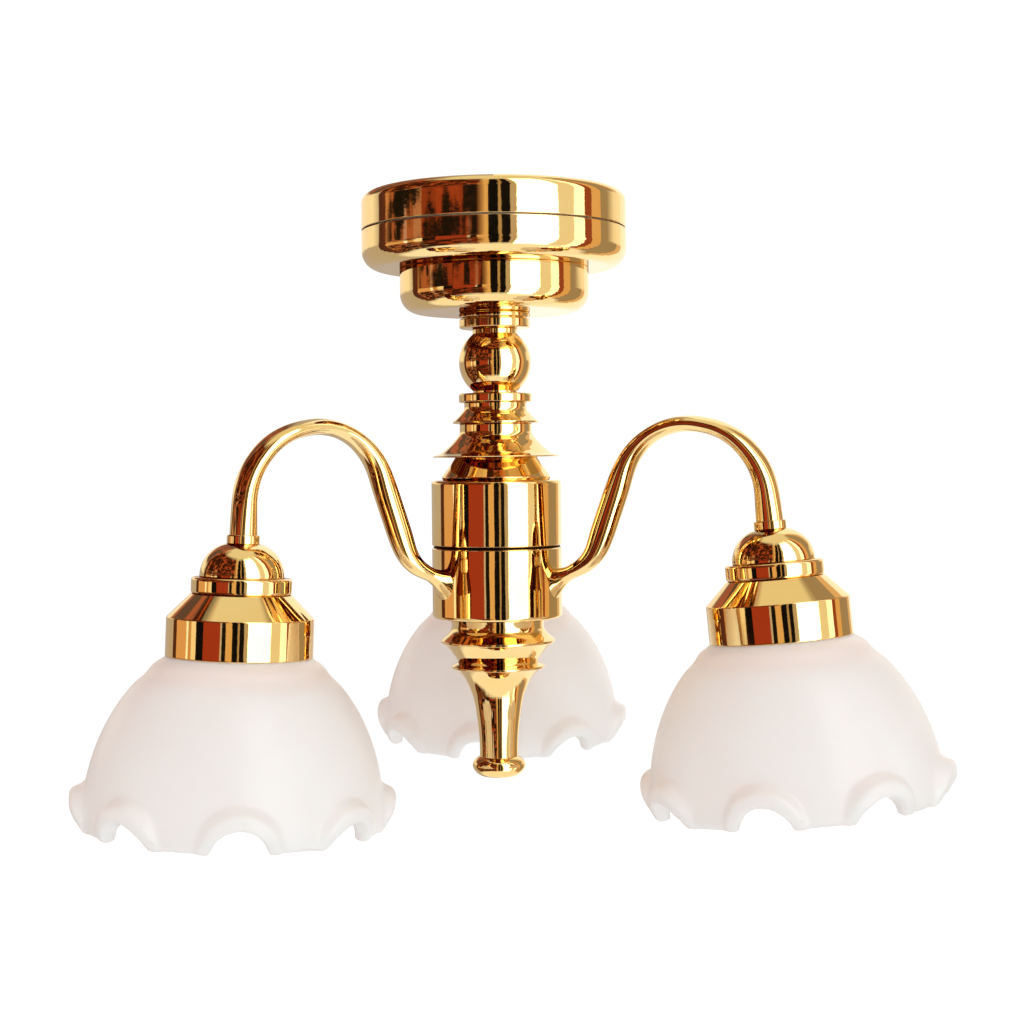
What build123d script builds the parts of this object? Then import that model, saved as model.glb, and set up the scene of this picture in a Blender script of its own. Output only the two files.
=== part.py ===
from build123d import *
import os
from math import cos, radians, sin, sqrt, tan

# Dolls-house chandelier, 1:12, battery operated, millimetres, +Z up.
# The origin is the centre of the face that sticks to the ceiling; everything hangs below it.
# The ceiling cap stays up. The rest is held to it by three pairs of magnets and pulls straight down.

os.makedirs("parts", exist_ok=True)

# ---------------------------------------------------------------- driving dimensions
# Canopy, wide tier
canopy_radius = 11.0
canopy_wall = 0.5
cap_top = -0.2
seam = -3.32
seam_gap = 0.1
cap_top_round = 1.6
cap_plate_bottom = -1.3
base_bottom = -6.47
base_round = 2.4
base_opening_radius = 6.6

# Canopy, narrow tier
step_radius = 7.86
step_bottom = -10.12
step_round = 1.6

# Adhesive pad in the cap's recess
pad_radius = 9.0
pad_thickness = 0.8
pad_recess_radius = 9.15
pad_recess_bottom = -0.8

# Battery tray, cell and contacts
tray_radius = 10.4
tray_top = -2.32
tray_floor = 0.6
tray_round = 2.1
cell_radius = 8.0
cell_thickness = 3.2
cell_step_radius = 6.8
cell_step = 0.3
cell_pocket_radius = 8.1
cell_edge_round = 0.25
contact_thickness = 0.2
contact_width = 2.4
contact_leg_x = -8.8
contact_reach = 3.0
negative_contact_length = 12.0
tab_width = 0.9
tab_thickness = 0.4
tab_clearance = 0.2
insulator_radius = 7.0
insulator_thickness = 0.15

# Magnet pairs
magnet_radius = 0.8
magnet_thickness = 1.0
magnet_circle = 9.2
magnet_gap = 0.04
magnet_start_angle = 30

# Slide switch, at the back of the tray
switch_y = 9.15
switch_length = 3.6
switch_width = 1.5
switch_height = 1.7
switch_travel = 1.5
lever_length = 0.8
lever_width = 0.6
lever_top = -1.62
lever_bottom = -2.9
lever_clearance = 0.08
lever_edge_round = 0.12
pin_width = 0.3
pin_spacing = 1.2
pin_bottom = -5.4

# Centre tube, its nut, and the wiring
tube_radius = 1.1
tube_bore_radius = 0.7
tube_top = -8.4
tube_bottom = -41.5
nut_radius = 2.0
nut_height = 1.0
stem_lead_radius = 0.2
stem_lead_offset = 0.3
jumper_radius = 0.16
jumper_bend = 0.45
jumper_drop_x = -5.4
jumper_drop_y = 5.6
jumper_low = -7.6
channel_height = 0.45
channel_width = 0.6
window_height = 2.0
window_top = -26.4
resistor_radius = 0.6
resistor_length = 2.6
resistor_x = 4.2
resistor_z = -7.8
resistor_leg_length = 0.7
resistor_leg_radius = 0.12
resistor_edge_round = 0.15
stem_lead_bend = 0.7
lead_spread = 2.6
window_width = 0.7

# Stem, from the canopy down
neck_ring_radius = 2.94
neck_ring_bottom = -11.43
neck_groove_top = -10.54
neck_groove_bottom = -10.67
neck_groove_radius = 2.6
ring_edge_round = 0.15
stem_neck_radius = 1.85
ball_radius = 3.0
ball_centre = -14.25
ball_bottom = -16.85
lower_ring_radius = 3.04
lower_ring_bottom = -17.58
lower_ring_edge_round = 0.12
small_bell_neck = 2.6
small_bell_flare = -17.98
small_bell_middle = (3.05, -18.7)
small_bell_rim = 3.58
small_bell_bottom = -19.37
small_bell_edge = 0.2
large_bell_neck = 3.0
large_bell_flare = -20.0
large_bell_middles = ((3.5, -20.8), (4.1, -21.4), (4.65, -21.82))
large_bell_rim = 5.25
large_bell_bottom = -22.17
large_bell_edge = 0.14
bell_lip = 0.05
shoulder_top_radius = 3.4
shoulder_radius = 4.55
shoulder_low = -23.8
shoulder_foot_radius = 4.42
drum_radius = 5.4
drum_wall = 0.6
drum_top = -24.05
drum_seam = -29.54
drum_bottom = -35.45
drum_seam_bevel = 0.17
drum_edge_round = 0.3
spigot_height = 1.0
spigot_clearance = 0.06
spigot_wall = 0.4
board_thickness = 0.4
board_radius = 4.0
board_top = -28.9
board_clearance = 0.05

# Finial
finial_top_radius = 3.95
finial_neck = (3.85, -36.28)
finial_rim_radius = 4.75
finial_rim_top = -37.32
finial_rim_bottom = -37.47
finial_collar_middle = (3.8, -38.4)
finial_collar_bottom = -39.2
finial_collar_waist = 3.33
finial_lip_radius = 3.88
finial_lip_top = -39.45
finial_lip_bottom = -39.6
finial_stalk_middles = ((2.95, -40.35), (2.25, -41.7), (1.8, -43.9))
finial_stalk_radius = 1.6
finial_stalk_end = -46.7
finial_bun_top = -47.0
finial_bun_radius = 2.2
finial_bun_centre = -47.7
finial_bun_foot = 1.5
finial_bottom = -48.6

# Arms: a tube bent in one upright plane and flattened where it bends. Points are (distance from stem, z).
arm_root = (4.55, -32.59)
arm_knee = (8.6, -30.7)
arm_shoulder = (13.0, -18.75)
arm_crown = (20.5, -20.25)
arm_descent_z = -23.5
arm_end_distance = 23.4
arm_end_z = -27.35
arm_bend_radii = (3.6, 5.9, 5.9, 5.8)
arm_wall = 0.25
# From root to lamp: share of the arm's length, half width across the bend, half width in its plane
arm_sections = (
    (0.0, 0.80, 0.55),
    (0.075, 0.80, 0.55),
    (0.2, 0.98, 1.02),
    (0.34, 1.08, 1.0),
    (0.5, 1.28, 0.64),
    (0.68, 1.30, 0.65),
    (0.85, 1.15, 0.88),
    (0.95, 1.06, 1.04),
    (1.0, 1.08, 1.08),
)
arm_tail = 0.85
arm_hole_length = 2.4
arm_lead_radius = 0.12
arm_lead_offset = 0.32
arm_lead_start = 2.9
arm_lead_bend = 0.5
# Flared foot round each arm: distance from the arm's root, half width across, half width in its plane
foot_sections = (
    (0.1, 1.5, 1.5),
    (0.6, 1.3, 1.22),
    (1.05, 1.08, 0.95),
    (1.55, 0.96, 0.76),
    (2.4, 0.9, 0.65),
)

# The three lamps: name, direction of the arm, lean of the lamp, extra height of the lamp, turn of the shade
lamps = (
    ("left", -145.0, 2.8, -0.5, -79.5),
    ("right", -25.0, 5.2, 0.05, -66.6),
    ("rear", 89.4, 4.0, 0.3, -55.6),
)

# Lamp head, heights measured down from the end of the arm's tube
ferrule_radius = 1.25
ferrule_bottom = -0.7
ferrule_edge_round = 0.16
dome_top_radius = 1.4
dome_middle = (2.75, -1.68)
dome_inside_middle = (2.42, -1.95)
dome_inside_top = -1.1
dome_radius = 3.2
dome_bottom = -3.2
socket_ring_radius = 3.8
socket_ring_bottom = -4.48
socket_edge_round = 0.25
gallery_hole_radius = 2.6
gallery_shoulder = -6.25
gallery_radius = 5.55
gallery_bottom = -9.2
gallery_inside_drop = 0.2
head_wall = 0.4
led_radius = 1.5
led_flange_radius = 1.9
led_flange_top = -6.2
led_flange_bottom = -6.6
led_tip = -11.2
led_leg_top = -4.9
led_leg_radius = 0.15
holder_radius = 4.8
holder_bottom = -7.4

# Shade: a bowl of elliptic section, and a crimped rim with arches. Depths are below the gallery.
shade_wall = 1.0
shade_neck_radius = 5.0
shade_neck_top = -7.6
shade_neck_overlap = 0.6
bowl_half_width = 11.25
bowl_half_height = 13.7
bowl_centre_depth = 12.0
rim_start_depth = 9.4
rim_depth = 12.65
rim_radius = 10.9
rim_swell = (0.45, -1.7)
rim_thickness = 0.9
rim_bevel = 0.2
rim_inside_swell = (-0.85, -1.4)
arch_count = 8
arch_radius = 2.0
arch_centre_depth = 13.2
arch_cut_start = 8.5
arch_cut_length = 5.0
lip_radius = 12.1
lip_root_radius = 10.95
lip_top_depth = 9.3
lip_depth = 11.2
lip_angle = 24
lip_bevel = 0.3
lip_crest = 0.8
lip_thickness = 0.8
lip_root_thickness = (0.15, 1.1)

# ---------------------------------------------------------------- ceiling side
with BuildPart() as adhesive_pad:
    with BuildSketch(Plane.XY):
        Circle(pad_radius)
    extrude(amount=-pad_thickness)
adhesive_pad.part.label = "adhesive_pad"
export_step(adhesive_pad.part, "parts/adhesive_pad.step")

cap_bottom = seam + seam_gap / 2
with BuildPart() as ceiling_cap:
    with BuildSketch(Plane.XY.offset(cap_bottom)):
        Circle(canopy_radius)
    extrude(amount=cap_top - cap_bottom)
    fillet(ceiling_cap.edges().group_by(Axis.Z)[-1], cap_top_round)
    with BuildSketch(Plane.XY.offset(cap_top)):
        Circle(pad_recess_radius)
    extrude(amount=pad_recess_bottom - cap_top, mode=Mode.SUBTRACT)
    with BuildSketch(Plane.XY.offset(cap_bottom)):
        Circle(canopy_radius - canopy_wall)
    extrude(amount=cap_plate_bottom - cap_bottom, mode=Mode.SUBTRACT)
ceiling_cap.part.label = "ceiling_cap"
export_step(ceiling_cap.part, "parts/ceiling_cap.step")

cap_magnet_bottom = tray_top + magnet_gap
with BuildPart() as cap_magnets:
    with BuildSketch(Plane.XY.offset(cap_magnet_bottom)):
        with PolarLocations(magnet_circle, 3, start_angle=magnet_start_angle):
            Circle(magnet_radius)
    extrude(amount=cap_plate_bottom - cap_magnet_bottom)
cap_magnets.part.label = "cap_magnets"
export_step(cap_magnets.part, "parts/cap_magnets.step")

with BuildPart() as cell_insulator:
    with BuildSketch(Plane.XY.offset(cap_plate_bottom)):
        Circle(insulator_radius)
    extrude(amount=-insulator_thickness)
cell_insulator.part.label = "cell_insulator"
export_step(cell_insulator.part, "parts/cell_insulator.step")

# ---------------------------------------------------------------- canopy shells
base_top = seam - seam_gap / 2
with BuildPart() as canopy_base:
    with BuildSketch(Plane.XY.offset(base_bottom)):
        Circle(canopy_radius)
    extrude(amount=base_top - base_bottom)
    fillet(canopy_base.edges().group_by(Axis.Z)[0], base_round)
    offset(amount=-canopy_wall, openings=canopy_base.faces().sort_by(Axis.Z)[-1])
    with BuildSketch(Plane.XY.offset(base_bottom)):
        Circle(base_opening_radius)
    extrude(amount=canopy_wall, mode=Mode.SUBTRACT)
canopy_base.part.label = "canopy_base"
export_step(canopy_base.part, "parts/canopy_base.step")

with BuildPart() as canopy_step:
    with BuildSketch(Plane.XY.offset(step_bottom)):
        Circle(step_radius)
    extrude(amount=base_bottom - step_bottom)
    fillet(canopy_step.edges().group_by(Axis.Z)[0], step_round)
    offset(amount=-canopy_wall, openings=canopy_step.faces().sort_by(Axis.Z)[-1])
    with BuildSketch(Plane.XY.offset(step_bottom)):
        Circle(tube_radius)
    extrude(amount=canopy_wall, mode=Mode.SUBTRACT)
canopy_step.part.label = "canopy_step"
export_step(canopy_step.part, "parts/canopy_step.step")

# ---------------------------------------------------------------- battery tray and what it holds
tray_bottom = base_bottom + canopy_wall
tray_floor_top = tray_bottom + tray_floor
switch_bottom = tray_top - switch_height
channel_z = tray_bottom + channel_height / 2
leg_slot_width = contact_thickness + tab_clearance
pin_y = switch_y - pin_width
channel_middle_y = (pin_y + jumper_drop_y) / 2
with BuildPart() as battery_tray:
    with BuildSketch(Plane.XY.offset(tray_bottom)):
        Circle(tray_radius)
    extrude(amount=tray_top - tray_bottom)
    fillet(battery_tray.edges().group_by(Axis.Z)[0], tray_round)
    with BuildSketch(Plane.XY.offset(tray_top)):
        Circle(cell_pocket_radius)
    extrude(amount=tray_floor_top - tray_top, mode=Mode.SUBTRACT)
    with BuildSketch(Plane.XY.offset(tray_top)):
        with PolarLocations(magnet_circle, 3, start_angle=magnet_start_angle):
            Circle(magnet_radius)
    extrude(amount=-magnet_thickness, mode=Mode.SUBTRACT)
    # Pocket for the switch, and the slot for its pins
    with BuildSketch(Plane.XY.offset(tray_top)):
        with Locations((0, switch_y)):
            Rectangle(switch_length, switch_width)
    extrude(amount=-switch_height, mode=Mode.SUBTRACT)
    with BuildSketch(Plane.XY.offset(switch_bottom)):
        with Locations((0, switch_y - pin_width)):
            Rectangle(2 * pin_spacing + 2 * pin_width, 3 * pin_width)
    extrude(amount=tray_bottom - switch_bottom, mode=Mode.SUBTRACT)
    # Slot for the leg of the positive contact
    with BuildSketch(Plane.XY.offset(tray_top)):
        with Locations((contact_leg_x, 0)):
            Rectangle(leg_slot_width, contact_width + tab_clearance)
    extrude(amount=tray_bottom - tray_top, mode=Mode.SUBTRACT)
    # Channels under the floor for the jumper wires, and a hole for the tab of the negative contact
    with BuildSketch(Plane.XY.offset(tray_bottom)):
        with Locations(((contact_leg_x + jumper_drop_x) / 2, 0)):
            Rectangle(jumper_drop_x - contact_leg_x + channel_width, channel_width)
        with Locations((-pin_spacing, channel_middle_y), (pin_spacing, channel_middle_y)):
            Rectangle(channel_width, pin_y - jumper_drop_y + channel_width)
    extrude(amount=channel_height, mode=Mode.SUBTRACT)
    with BuildSketch(Plane.XY.offset(tray_bottom)):
        Rectangle(tab_width + 2 * tab_clearance, tab_thickness + 2 * tab_clearance)
    extrude(amount=tray_floor, mode=Mode.SUBTRACT)
battery_tray.part.label = "battery_tray"
export_step(battery_tray.part, "parts/battery_tray.step")

with BuildPart() as tray_magnets:
    with BuildSketch(Plane.XY.offset(tray_top)):
        with PolarLocations(magnet_circle, 3, start_angle=magnet_start_angle):
            Circle(magnet_radius)
    extrude(amount=-magnet_thickness)
tray_magnets.part.label = "tray_magnets"
export_step(tray_magnets.part, "parts/tray_magnets.step")

negative_contact_top = tray_floor_top + contact_thickness
tab_bottom = base_bottom + 0.1
with BuildPart() as negative_contact:
    with BuildSketch(Plane.XY.offset(tray_floor_top)):
        Rectangle(negative_contact_length, contact_width)
        Circle(contact_reach)
    extrude(amount=contact_thickness)
    with BuildSketch(Plane.XY.offset(tray_floor_top)):
        Rectangle(tab_width, tab_thickness)
    extrude(amount=tab_bottom - tray_floor_top)
negative_contact.part.label = "negative_contact"
export_step(negative_contact.part, "parts/negative_contact.step")

cell_top = negative_contact_top + cell_thickness
with BuildPart() as coin_cell:
    with BuildSketch(Plane.XY.offset(cell_top)):
        Circle(cell_radius)
    extrude(amount=-(cell_thickness - cell_step))
    fillet(coin_cell.edges().filter_by(GeomType.CIRCLE), cell_edge_round)
    with BuildSketch(Plane.XY.offset(negative_contact_top)):
        Circle(cell_step_radius)
    extrude(amount=cell_step)
coin_cell.part.label = "coin_cell"
export_step(coin_cell.part, "parts/coin_cell.step")

with BuildPart() as positive_contact:
    with BuildSketch(Plane.XY.offset(cell_top)):
        with Locations(((contact_leg_x + contact_reach) / 2, 0)):
            Rectangle(contact_reach - contact_leg_x + contact_thickness, contact_width)
    extrude(amount=contact_thickness)
    with BuildSketch(Plane.XY.offset(cell_top)):
        with Locations((contact_leg_x, 0)):
            Rectangle(contact_thickness, contact_width)
    extrude(amount=tray_bottom + channel_height - cell_top)
positive_contact.part.label = "positive_contact"
export_step(positive_contact.part, "parts/positive_contact.step")

lever_slot_length = lever_length + switch_travel + 2 * lever_clearance
lever_rest_x = -switch_travel / 2
with BuildPart() as switch_body:
    with BuildSketch(Plane.XY.offset(tray_top)):
        with Locations((0, switch_y)):
            Rectangle(switch_length, switch_width)
    extrude(amount=-switch_height)
    with BuildSketch(Plane.XY.offset(tray_top)):
        with Locations((0, switch_y)):
            Rectangle(lever_slot_length, lever_width + 2 * lever_clearance)
    extrude(amount=lever_bottom - lever_clearance - tray_top, mode=Mode.SUBTRACT)
switch_body.part.label = "switch_body"
export_step(switch_body.part, "parts/switch_body.step")

with BuildPart() as switch_lever:
    with BuildSketch(Plane.XY.offset(lever_bottom)):
        with Locations((lever_rest_x, switch_y)):
            Rectangle(lever_length, lever_width)
    extrude(amount=lever_top - lever_bottom)
    fillet(switch_lever.edges().group_by(Axis.Z)[-1], lever_edge_round)
switch_lever.part.label = "switch_lever"
export_step(switch_lever.part, "parts/switch_lever.step")

with BuildPart() as switch_pins:
    with BuildSketch(Plane.XY.offset(switch_bottom)):
        with Locations((-pin_spacing, pin_y), (0, pin_y), (pin_spacing, pin_y)):
            Rectangle(pin_width, pin_width)
    extrude(amount=pin_bottom - switch_bottom)
switch_pins.part.label = "switch_pins"
export_step(switch_pins.part, "parts/switch_pins.step")

with BuildPart() as resistor:
    with BuildSketch(Plane.YZ.offset(resistor_x - resistor_length / 2)):
        with Locations((0, resistor_z)):
            Circle(resistor_radius)
    extrude(amount=resistor_length)
    fillet(resistor.edges().filter_by(GeomType.CIRCLE), resistor_edge_round)
    with BuildSketch(Plane.YZ.offset(resistor_x - resistor_length / 2 - resistor_leg_length)):
        with Locations((0, resistor_z)):
            Circle(resistor_leg_radius)
    extrude(amount=resistor_length + 2 * resistor_leg_length)
resistor.part.label = "resistor"
export_step(resistor.part, "parts/resistor.step")

# Jumper wires: positive contact to switch, and switch to resistor, hanging in the narrow tier
resistor_far_x = resistor_x + resistor_length / 2 + resistor_leg_length
jumper_routes = (
    (
        (contact_leg_x + 0.1, 0, channel_z),
        (jumper_drop_x, 0, channel_z),
        (jumper_drop_x, 0, jumper_low),
        (-pin_spacing, jumper_drop_y, jumper_low),
        (-pin_spacing, jumper_drop_y, channel_z),
        (-pin_spacing, pin_y, channel_z),
    ),
    (
        (pin_spacing, pin_y, channel_z),
        (pin_spacing, jumper_drop_y, channel_z),
        (pin_spacing, jumper_drop_y, resistor_z),
        (resistor_far_x + jumper_radius, jumper_drop_y / 2, resistor_z),
        (resistor_far_x + jumper_radius, 0, resistor_z),
    ),
)
with BuildPart() as tray_jumpers:
    for route in jumper_routes:
        with BuildLine() as jumper_line:
            FilletPolyline(*route, radius=jumper_bend)
        with BuildSketch(Plane(origin=jumper_line.line @ 0, z_dir=jumper_line.line % 0)):
            Circle(jumper_radius)
        sweep(path=jumper_line.line)
tray_jumpers.part.label = "tray_jumpers"
export_step(tray_jumpers.part, "parts/tray_jumpers.step")

# ---------------------------------------------------------------- stem
with BuildPart() as center_tube:
    with BuildSketch(Plane.XY.offset(tube_bottom)):
        Circle(tube_radius)
        Circle(tube_bore_radius, mode=Mode.SUBTRACT)
    extrude(amount=tube_top - tube_bottom)
    # Windows on both sides, where the leads leave the tube inside the drum
    with BuildSketch(Plane.YZ):
        with Locations((0, window_top - window_height / 2)):
            SlotOverall(window_height, window_width, rotation=90)
    extrude(amount=2 * tube_radius, both=True, mode=Mode.SUBTRACT)
center_tube.part.label = "center_tube"
export_step(center_tube.part, "parts/center_tube.step")

with BuildPart() as tube_nut:
    with BuildSketch(Plane.XY.offset(step_bottom + canopy_wall)):
        RegularPolygon(nut_radius, 6)
        Circle(tube_radius, mode=Mode.SUBTRACT)
    extrude(amount=nut_height)
tube_nut.part.label = "tube_nut"
export_step(tube_nut.part, "parts/tube_nut.step")

with BuildPart() as neck_ring:
    with BuildSketch(Plane.XY.offset(neck_ring_bottom)):
        Circle(neck_ring_radius)
    extrude(amount=step_bottom - neck_ring_bottom)
    fillet(neck_ring.edges().filter_by(GeomType.CIRCLE), ring_edge_round)
    with BuildSketch(Plane.XY.offset(neck_groove_bottom)):
        Circle(canopy_radius)
        Circle(neck_groove_radius, mode=Mode.SUBTRACT)
    extrude(amount=neck_groove_top - neck_groove_bottom, mode=Mode.SUBTRACT)
    with BuildSketch(Plane.XY.offset(neck_ring_bottom)):
        Circle(tube_radius)
    extrude(amount=step_bottom - neck_ring_bottom, mode=Mode.SUBTRACT)
neck_ring.part.label = "neck_ring"
export_step(neck_ring.part, "parts/neck_ring.step")

stem_ball_height = neck_ring_bottom - ball_bottom
with BuildPart() as stem_ball:
    with BuildSketch(Plane.XZ):
        with Locations((0, ball_centre)):
            Circle(ball_radius)
        with Locations((tube_radius, ball_bottom)):
            Rectangle(ball_radius, stem_ball_height, align=Align.MIN, mode=Mode.INTERSECT)
            Rectangle(stem_neck_radius - tube_radius, stem_ball_height, align=Align.MIN)
    revolve(axis=Axis.Z)
stem_ball.part.label = "stem_ball"
export_step(stem_ball.part, "parts/stem_ball.step")

with BuildPart() as lower_ring:
    with BuildSketch(Plane.XY.offset(lower_ring_bottom)):
        Circle(lower_ring_radius)
    extrude(amount=ball_bottom - lower_ring_bottom)
    fillet(lower_ring.edges().filter_by(GeomType.CIRCLE), lower_ring_edge_round)
    with BuildSketch(Plane.XY.offset(lower_ring_bottom)):
        Circle(tube_radius)
    extrude(amount=ball_bottom - lower_ring_bottom, mode=Mode.SUBTRACT)
lower_ring.part.label = "lower_ring"
export_step(lower_ring.part, "parts/lower_ring.step")

# Bell caps: a neck, a hollow flare down to a sharp rim, and an undercut below the rim
with BuildPart() as small_bell_cap:
    with BuildSketch(Plane.XZ):
        with BuildLine():
            Line((tube_radius, lower_ring_bottom), (small_bell_neck, lower_ring_bottom))
            Line((small_bell_neck, lower_ring_bottom), (small_bell_neck, small_bell_flare))
            Spline(
                (small_bell_neck, small_bell_flare),
                small_bell_middle,
                (small_bell_rim, small_bell_bottom + small_bell_edge),
                tangents=((0, -1), (1, -0.8)),
            )
            Polyline(
                (small_bell_rim, small_bell_bottom + small_bell_edge),
                (small_bell_rim - bell_lip, small_bell_bottom + bell_lip),
                (large_bell_neck, small_bell_bottom),
                (tube_radius, small_bell_bottom),
                (tube_radius, lower_ring_bottom),
            )
        make_face()
    revolve(axis=Axis.Z)
small_bell_cap.part.label = "small_bell_cap"
export_step(small_bell_cap.part, "parts/small_bell_cap.step")

with BuildPart() as large_bell_cap:
    with BuildSketch(Plane.XZ):
        with BuildLine():
            Line((tube_radius, small_bell_bottom), (large_bell_neck, small_bell_bottom))
            Line((large_bell_neck, small_bell_bottom), (large_bell_neck, large_bell_flare))
            Spline(
                (large_bell_neck, large_bell_flare),
                *large_bell_middles,
                (large_bell_rim, large_bell_bottom + large_bell_edge),
                tangents=((0, -1), (1, -0.35)),
            )
            Polyline(
                (large_bell_rim, large_bell_bottom + large_bell_edge),
                (large_bell_rim - bell_lip, large_bell_bottom + bell_lip),
                (shoulder_top_radius, large_bell_bottom),
                (tube_radius, large_bell_bottom),
                (tube_radius, small_bell_bottom),
            )
        make_face()
    revolve(axis=Axis.Z)
large_bell_cap.part.label = "large_bell_cap"
export_step(large_bell_cap.part, "parts/large_bell_cap.step")

with BuildPart() as body_shoulder:
    with BuildSketch(Plane.XZ):
        with BuildLine():
            Polyline(
                (tube_radius, large_bell_bottom),
                (shoulder_top_radius, large_bell_bottom),
                (shoulder_radius, shoulder_low),
                (shoulder_foot_radius, drum_top),
                (tube_radius, drum_top),
                close=True,
            )
        make_face()
    revolve(axis=Axis.Z)
body_shoulder.part.label = "body_shoulder"
export_step(body_shoulder.part, "parts/body_shoulder.step")

# ---------------------------------------------------------------- drum body
drum_inside = drum_radius - drum_wall
with BuildPart() as body_drum_upper:
    with BuildSketch(Plane.XY.offset(drum_seam)):
        Circle(drum_radius)
    extrude(amount=drum_top - drum_seam)
    fillet(body_drum_upper.edges().group_by(Axis.Z)[-1], drum_edge_round)
    chamfer(body_drum_upper.edges().group_by(Axis.Z)[0], drum_seam_bevel)
    with BuildSketch(Plane.XY.offset(drum_seam)):
        Circle(drum_inside)
    extrude(amount=drum_top - drum_wall - drum_seam, mode=Mode.SUBTRACT)
    with BuildSketch(Plane.XY.offset(drum_top)):
        Circle(tube_radius)
    extrude(amount=-drum_wall, mode=Mode.SUBTRACT)
body_drum_upper.part.label = "body_drum_upper"
export_step(body_drum_upper.part, "parts/body_drum_upper.step")


def arm_plane(direction):
    """Upright plane through the stem axis: local x runs outwards, local y is up."""
    along = (cos(radians(direction)), sin(radians(direction)), 0)
    across = (sin(radians(direction)), -cos(radians(direction)), 0)
    return Plane(origin=(0, 0, 0), x_dir=along, z_dir=across)


root_run = Vector(arm_knee[0] - arm_root[0], arm_knee[1] - arm_root[1])
root_width = arm_sections[0][1]
root_height = arm_sections[0][2]
with BuildPart() as body_drum_lower:
    with BuildSketch(Plane.XY.offset(drum_bottom)):
        Circle(drum_radius)
    extrude(amount=drum_seam - drum_bottom)
    fillet(body_drum_lower.edges().group_by(Axis.Z)[0], drum_edge_round)
    chamfer(body_drum_lower.edges().group_by(Axis.Z)[-1], drum_seam_bevel)
    # A thin spigot stands up inside the upper drum
    with BuildSketch(Plane.XY.offset(drum_seam)):
        Circle(drum_inside - spigot_clearance)
    extrude(amount=spigot_height)
    with BuildSketch(Plane.XY.offset(drum_bottom + drum_wall)):
        Circle(drum_inside - spigot_clearance - spigot_wall)
    extrude(amount=drum_seam + spigot_height - drum_bottom - drum_wall, mode=Mode.SUBTRACT)
    with BuildSketch(Plane.XY.offset(drum_bottom + drum_wall)):
        Circle(drum_inside)
    extrude(amount=drum_seam - drum_wall - drum_bottom - drum_wall, mode=Mode.SUBTRACT)
    with BuildSketch(Plane.XY.offset(drum_bottom)):
        Circle(tube_radius)
    extrude(amount=drum_wall, mode=Mode.SUBTRACT)
    # Holes that the arms pass through, along the first straight run of each arm
    for name, direction, lean, rise, turn in lamps:
        upright = arm_plane(direction)
        hole_start = upright.from_local_coords((arm_root[0], arm_root[1], 0))
        hole_way = upright.from_local_coords((root_run.X, root_run.Y, 0))
        with BuildSketch(Plane(origin=hole_start, x_dir=upright.z_dir, z_dir=hole_way)):
            Ellipse(root_width, root_height)
        extrude(amount=arm_hole_length, mode=Mode.SUBTRACT)
body_drum_lower.part.label = "body_drum_lower"
export_step(body_drum_lower.part, "parts/body_drum_lower.step")

board_bottom = board_top - board_thickness
with BuildPart() as junction_board:
    with BuildSketch(Plane.XY.offset(board_bottom)):
        Circle(board_radius)
        Circle(tube_radius + board_clearance, mode=Mode.SUBTRACT)
    extrude(amount=board_thickness)
junction_board.part.label = "junction_board"
export_step(junction_board.part, "parts/junction_board.step")

# Stem leads: down the bore of the tube, out of a window and down to the junction board
lead_out_z = window_top - window_height / 2
with BuildPart() as positive_stem_lead:
    with BuildLine() as positive_line:
        FilletPolyline(
            (resistor_x - resistor_length / 2 - resistor_leg_length, 0, resistor_z),
            (stem_lead_offset, 0, resistor_z),
            (stem_lead_offset, 0, lead_out_z),
            (lead_spread, 0, lead_out_z),
            (lead_spread, 0, board_top),
            radius=stem_lead_bend,
        )
    with BuildSketch(Plane(origin=positive_line.line @ 0, z_dir=positive_line.line % 0)):
        Circle(stem_lead_radius)
    sweep(path=positive_line.line)
positive_stem_lead.part.label = "positive_stem_lead"
export_step(positive_stem_lead.part, "parts/positive_stem_lead.step")

with BuildPart() as negative_stem_lead:
    with BuildLine() as negative_line:
        FilletPolyline(
            (-stem_lead_offset, 0, tab_bottom),
            (-stem_lead_offset, 0, lead_out_z),
            (-lead_spread, 0, lead_out_z),
            (-lead_spread, 0, board_top),
            radius=stem_lead_bend,
        )
    with BuildSketch(Plane(origin=negative_line.line @ 0, z_dir=negative_line.line % 0)):
        Circle(stem_lead_radius)
    sweep(path=negative_line.line)
negative_stem_lead.part.label = "negative_stem_lead"
export_step(negative_stem_lead.part, "parts/negative_stem_lead.step")

# ---------------------------------------------------------------- finial
with BuildPart() as finial_collar:
    with BuildSketch(Plane.XZ):
        with BuildLine():
            Line((tube_radius, drum_bottom), (finial_top_radius, drum_bottom))
            Spline(
                (finial_top_radius, drum_bottom),
                finial_neck,
                (finial_rim_radius, finial_rim_top),
                tangents=((-0.2, -1), (1, -0.9)),
            )
            Line((finial_rim_radius, finial_rim_top), (finial_rim_radius, finial_rim_bottom))
            Spline(
                (finial_rim_radius, finial_rim_bottom),
                finial_collar_middle,
                (finial_collar_waist, finial_collar_bottom),
                tangents=((-1, -0.7), (-0.2, -1)),
            )
            Polyline(
                (finial_collar_waist, finial_collar_bottom),
                (tube_radius, finial_collar_bottom),
                (tube_radius, drum_bottom),
            )
        make_face()
    revolve(axis=Axis.Z)
finial_collar.part.label = "finial_collar"
export_step(finial_collar.part, "parts/finial_collar.step")

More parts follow.
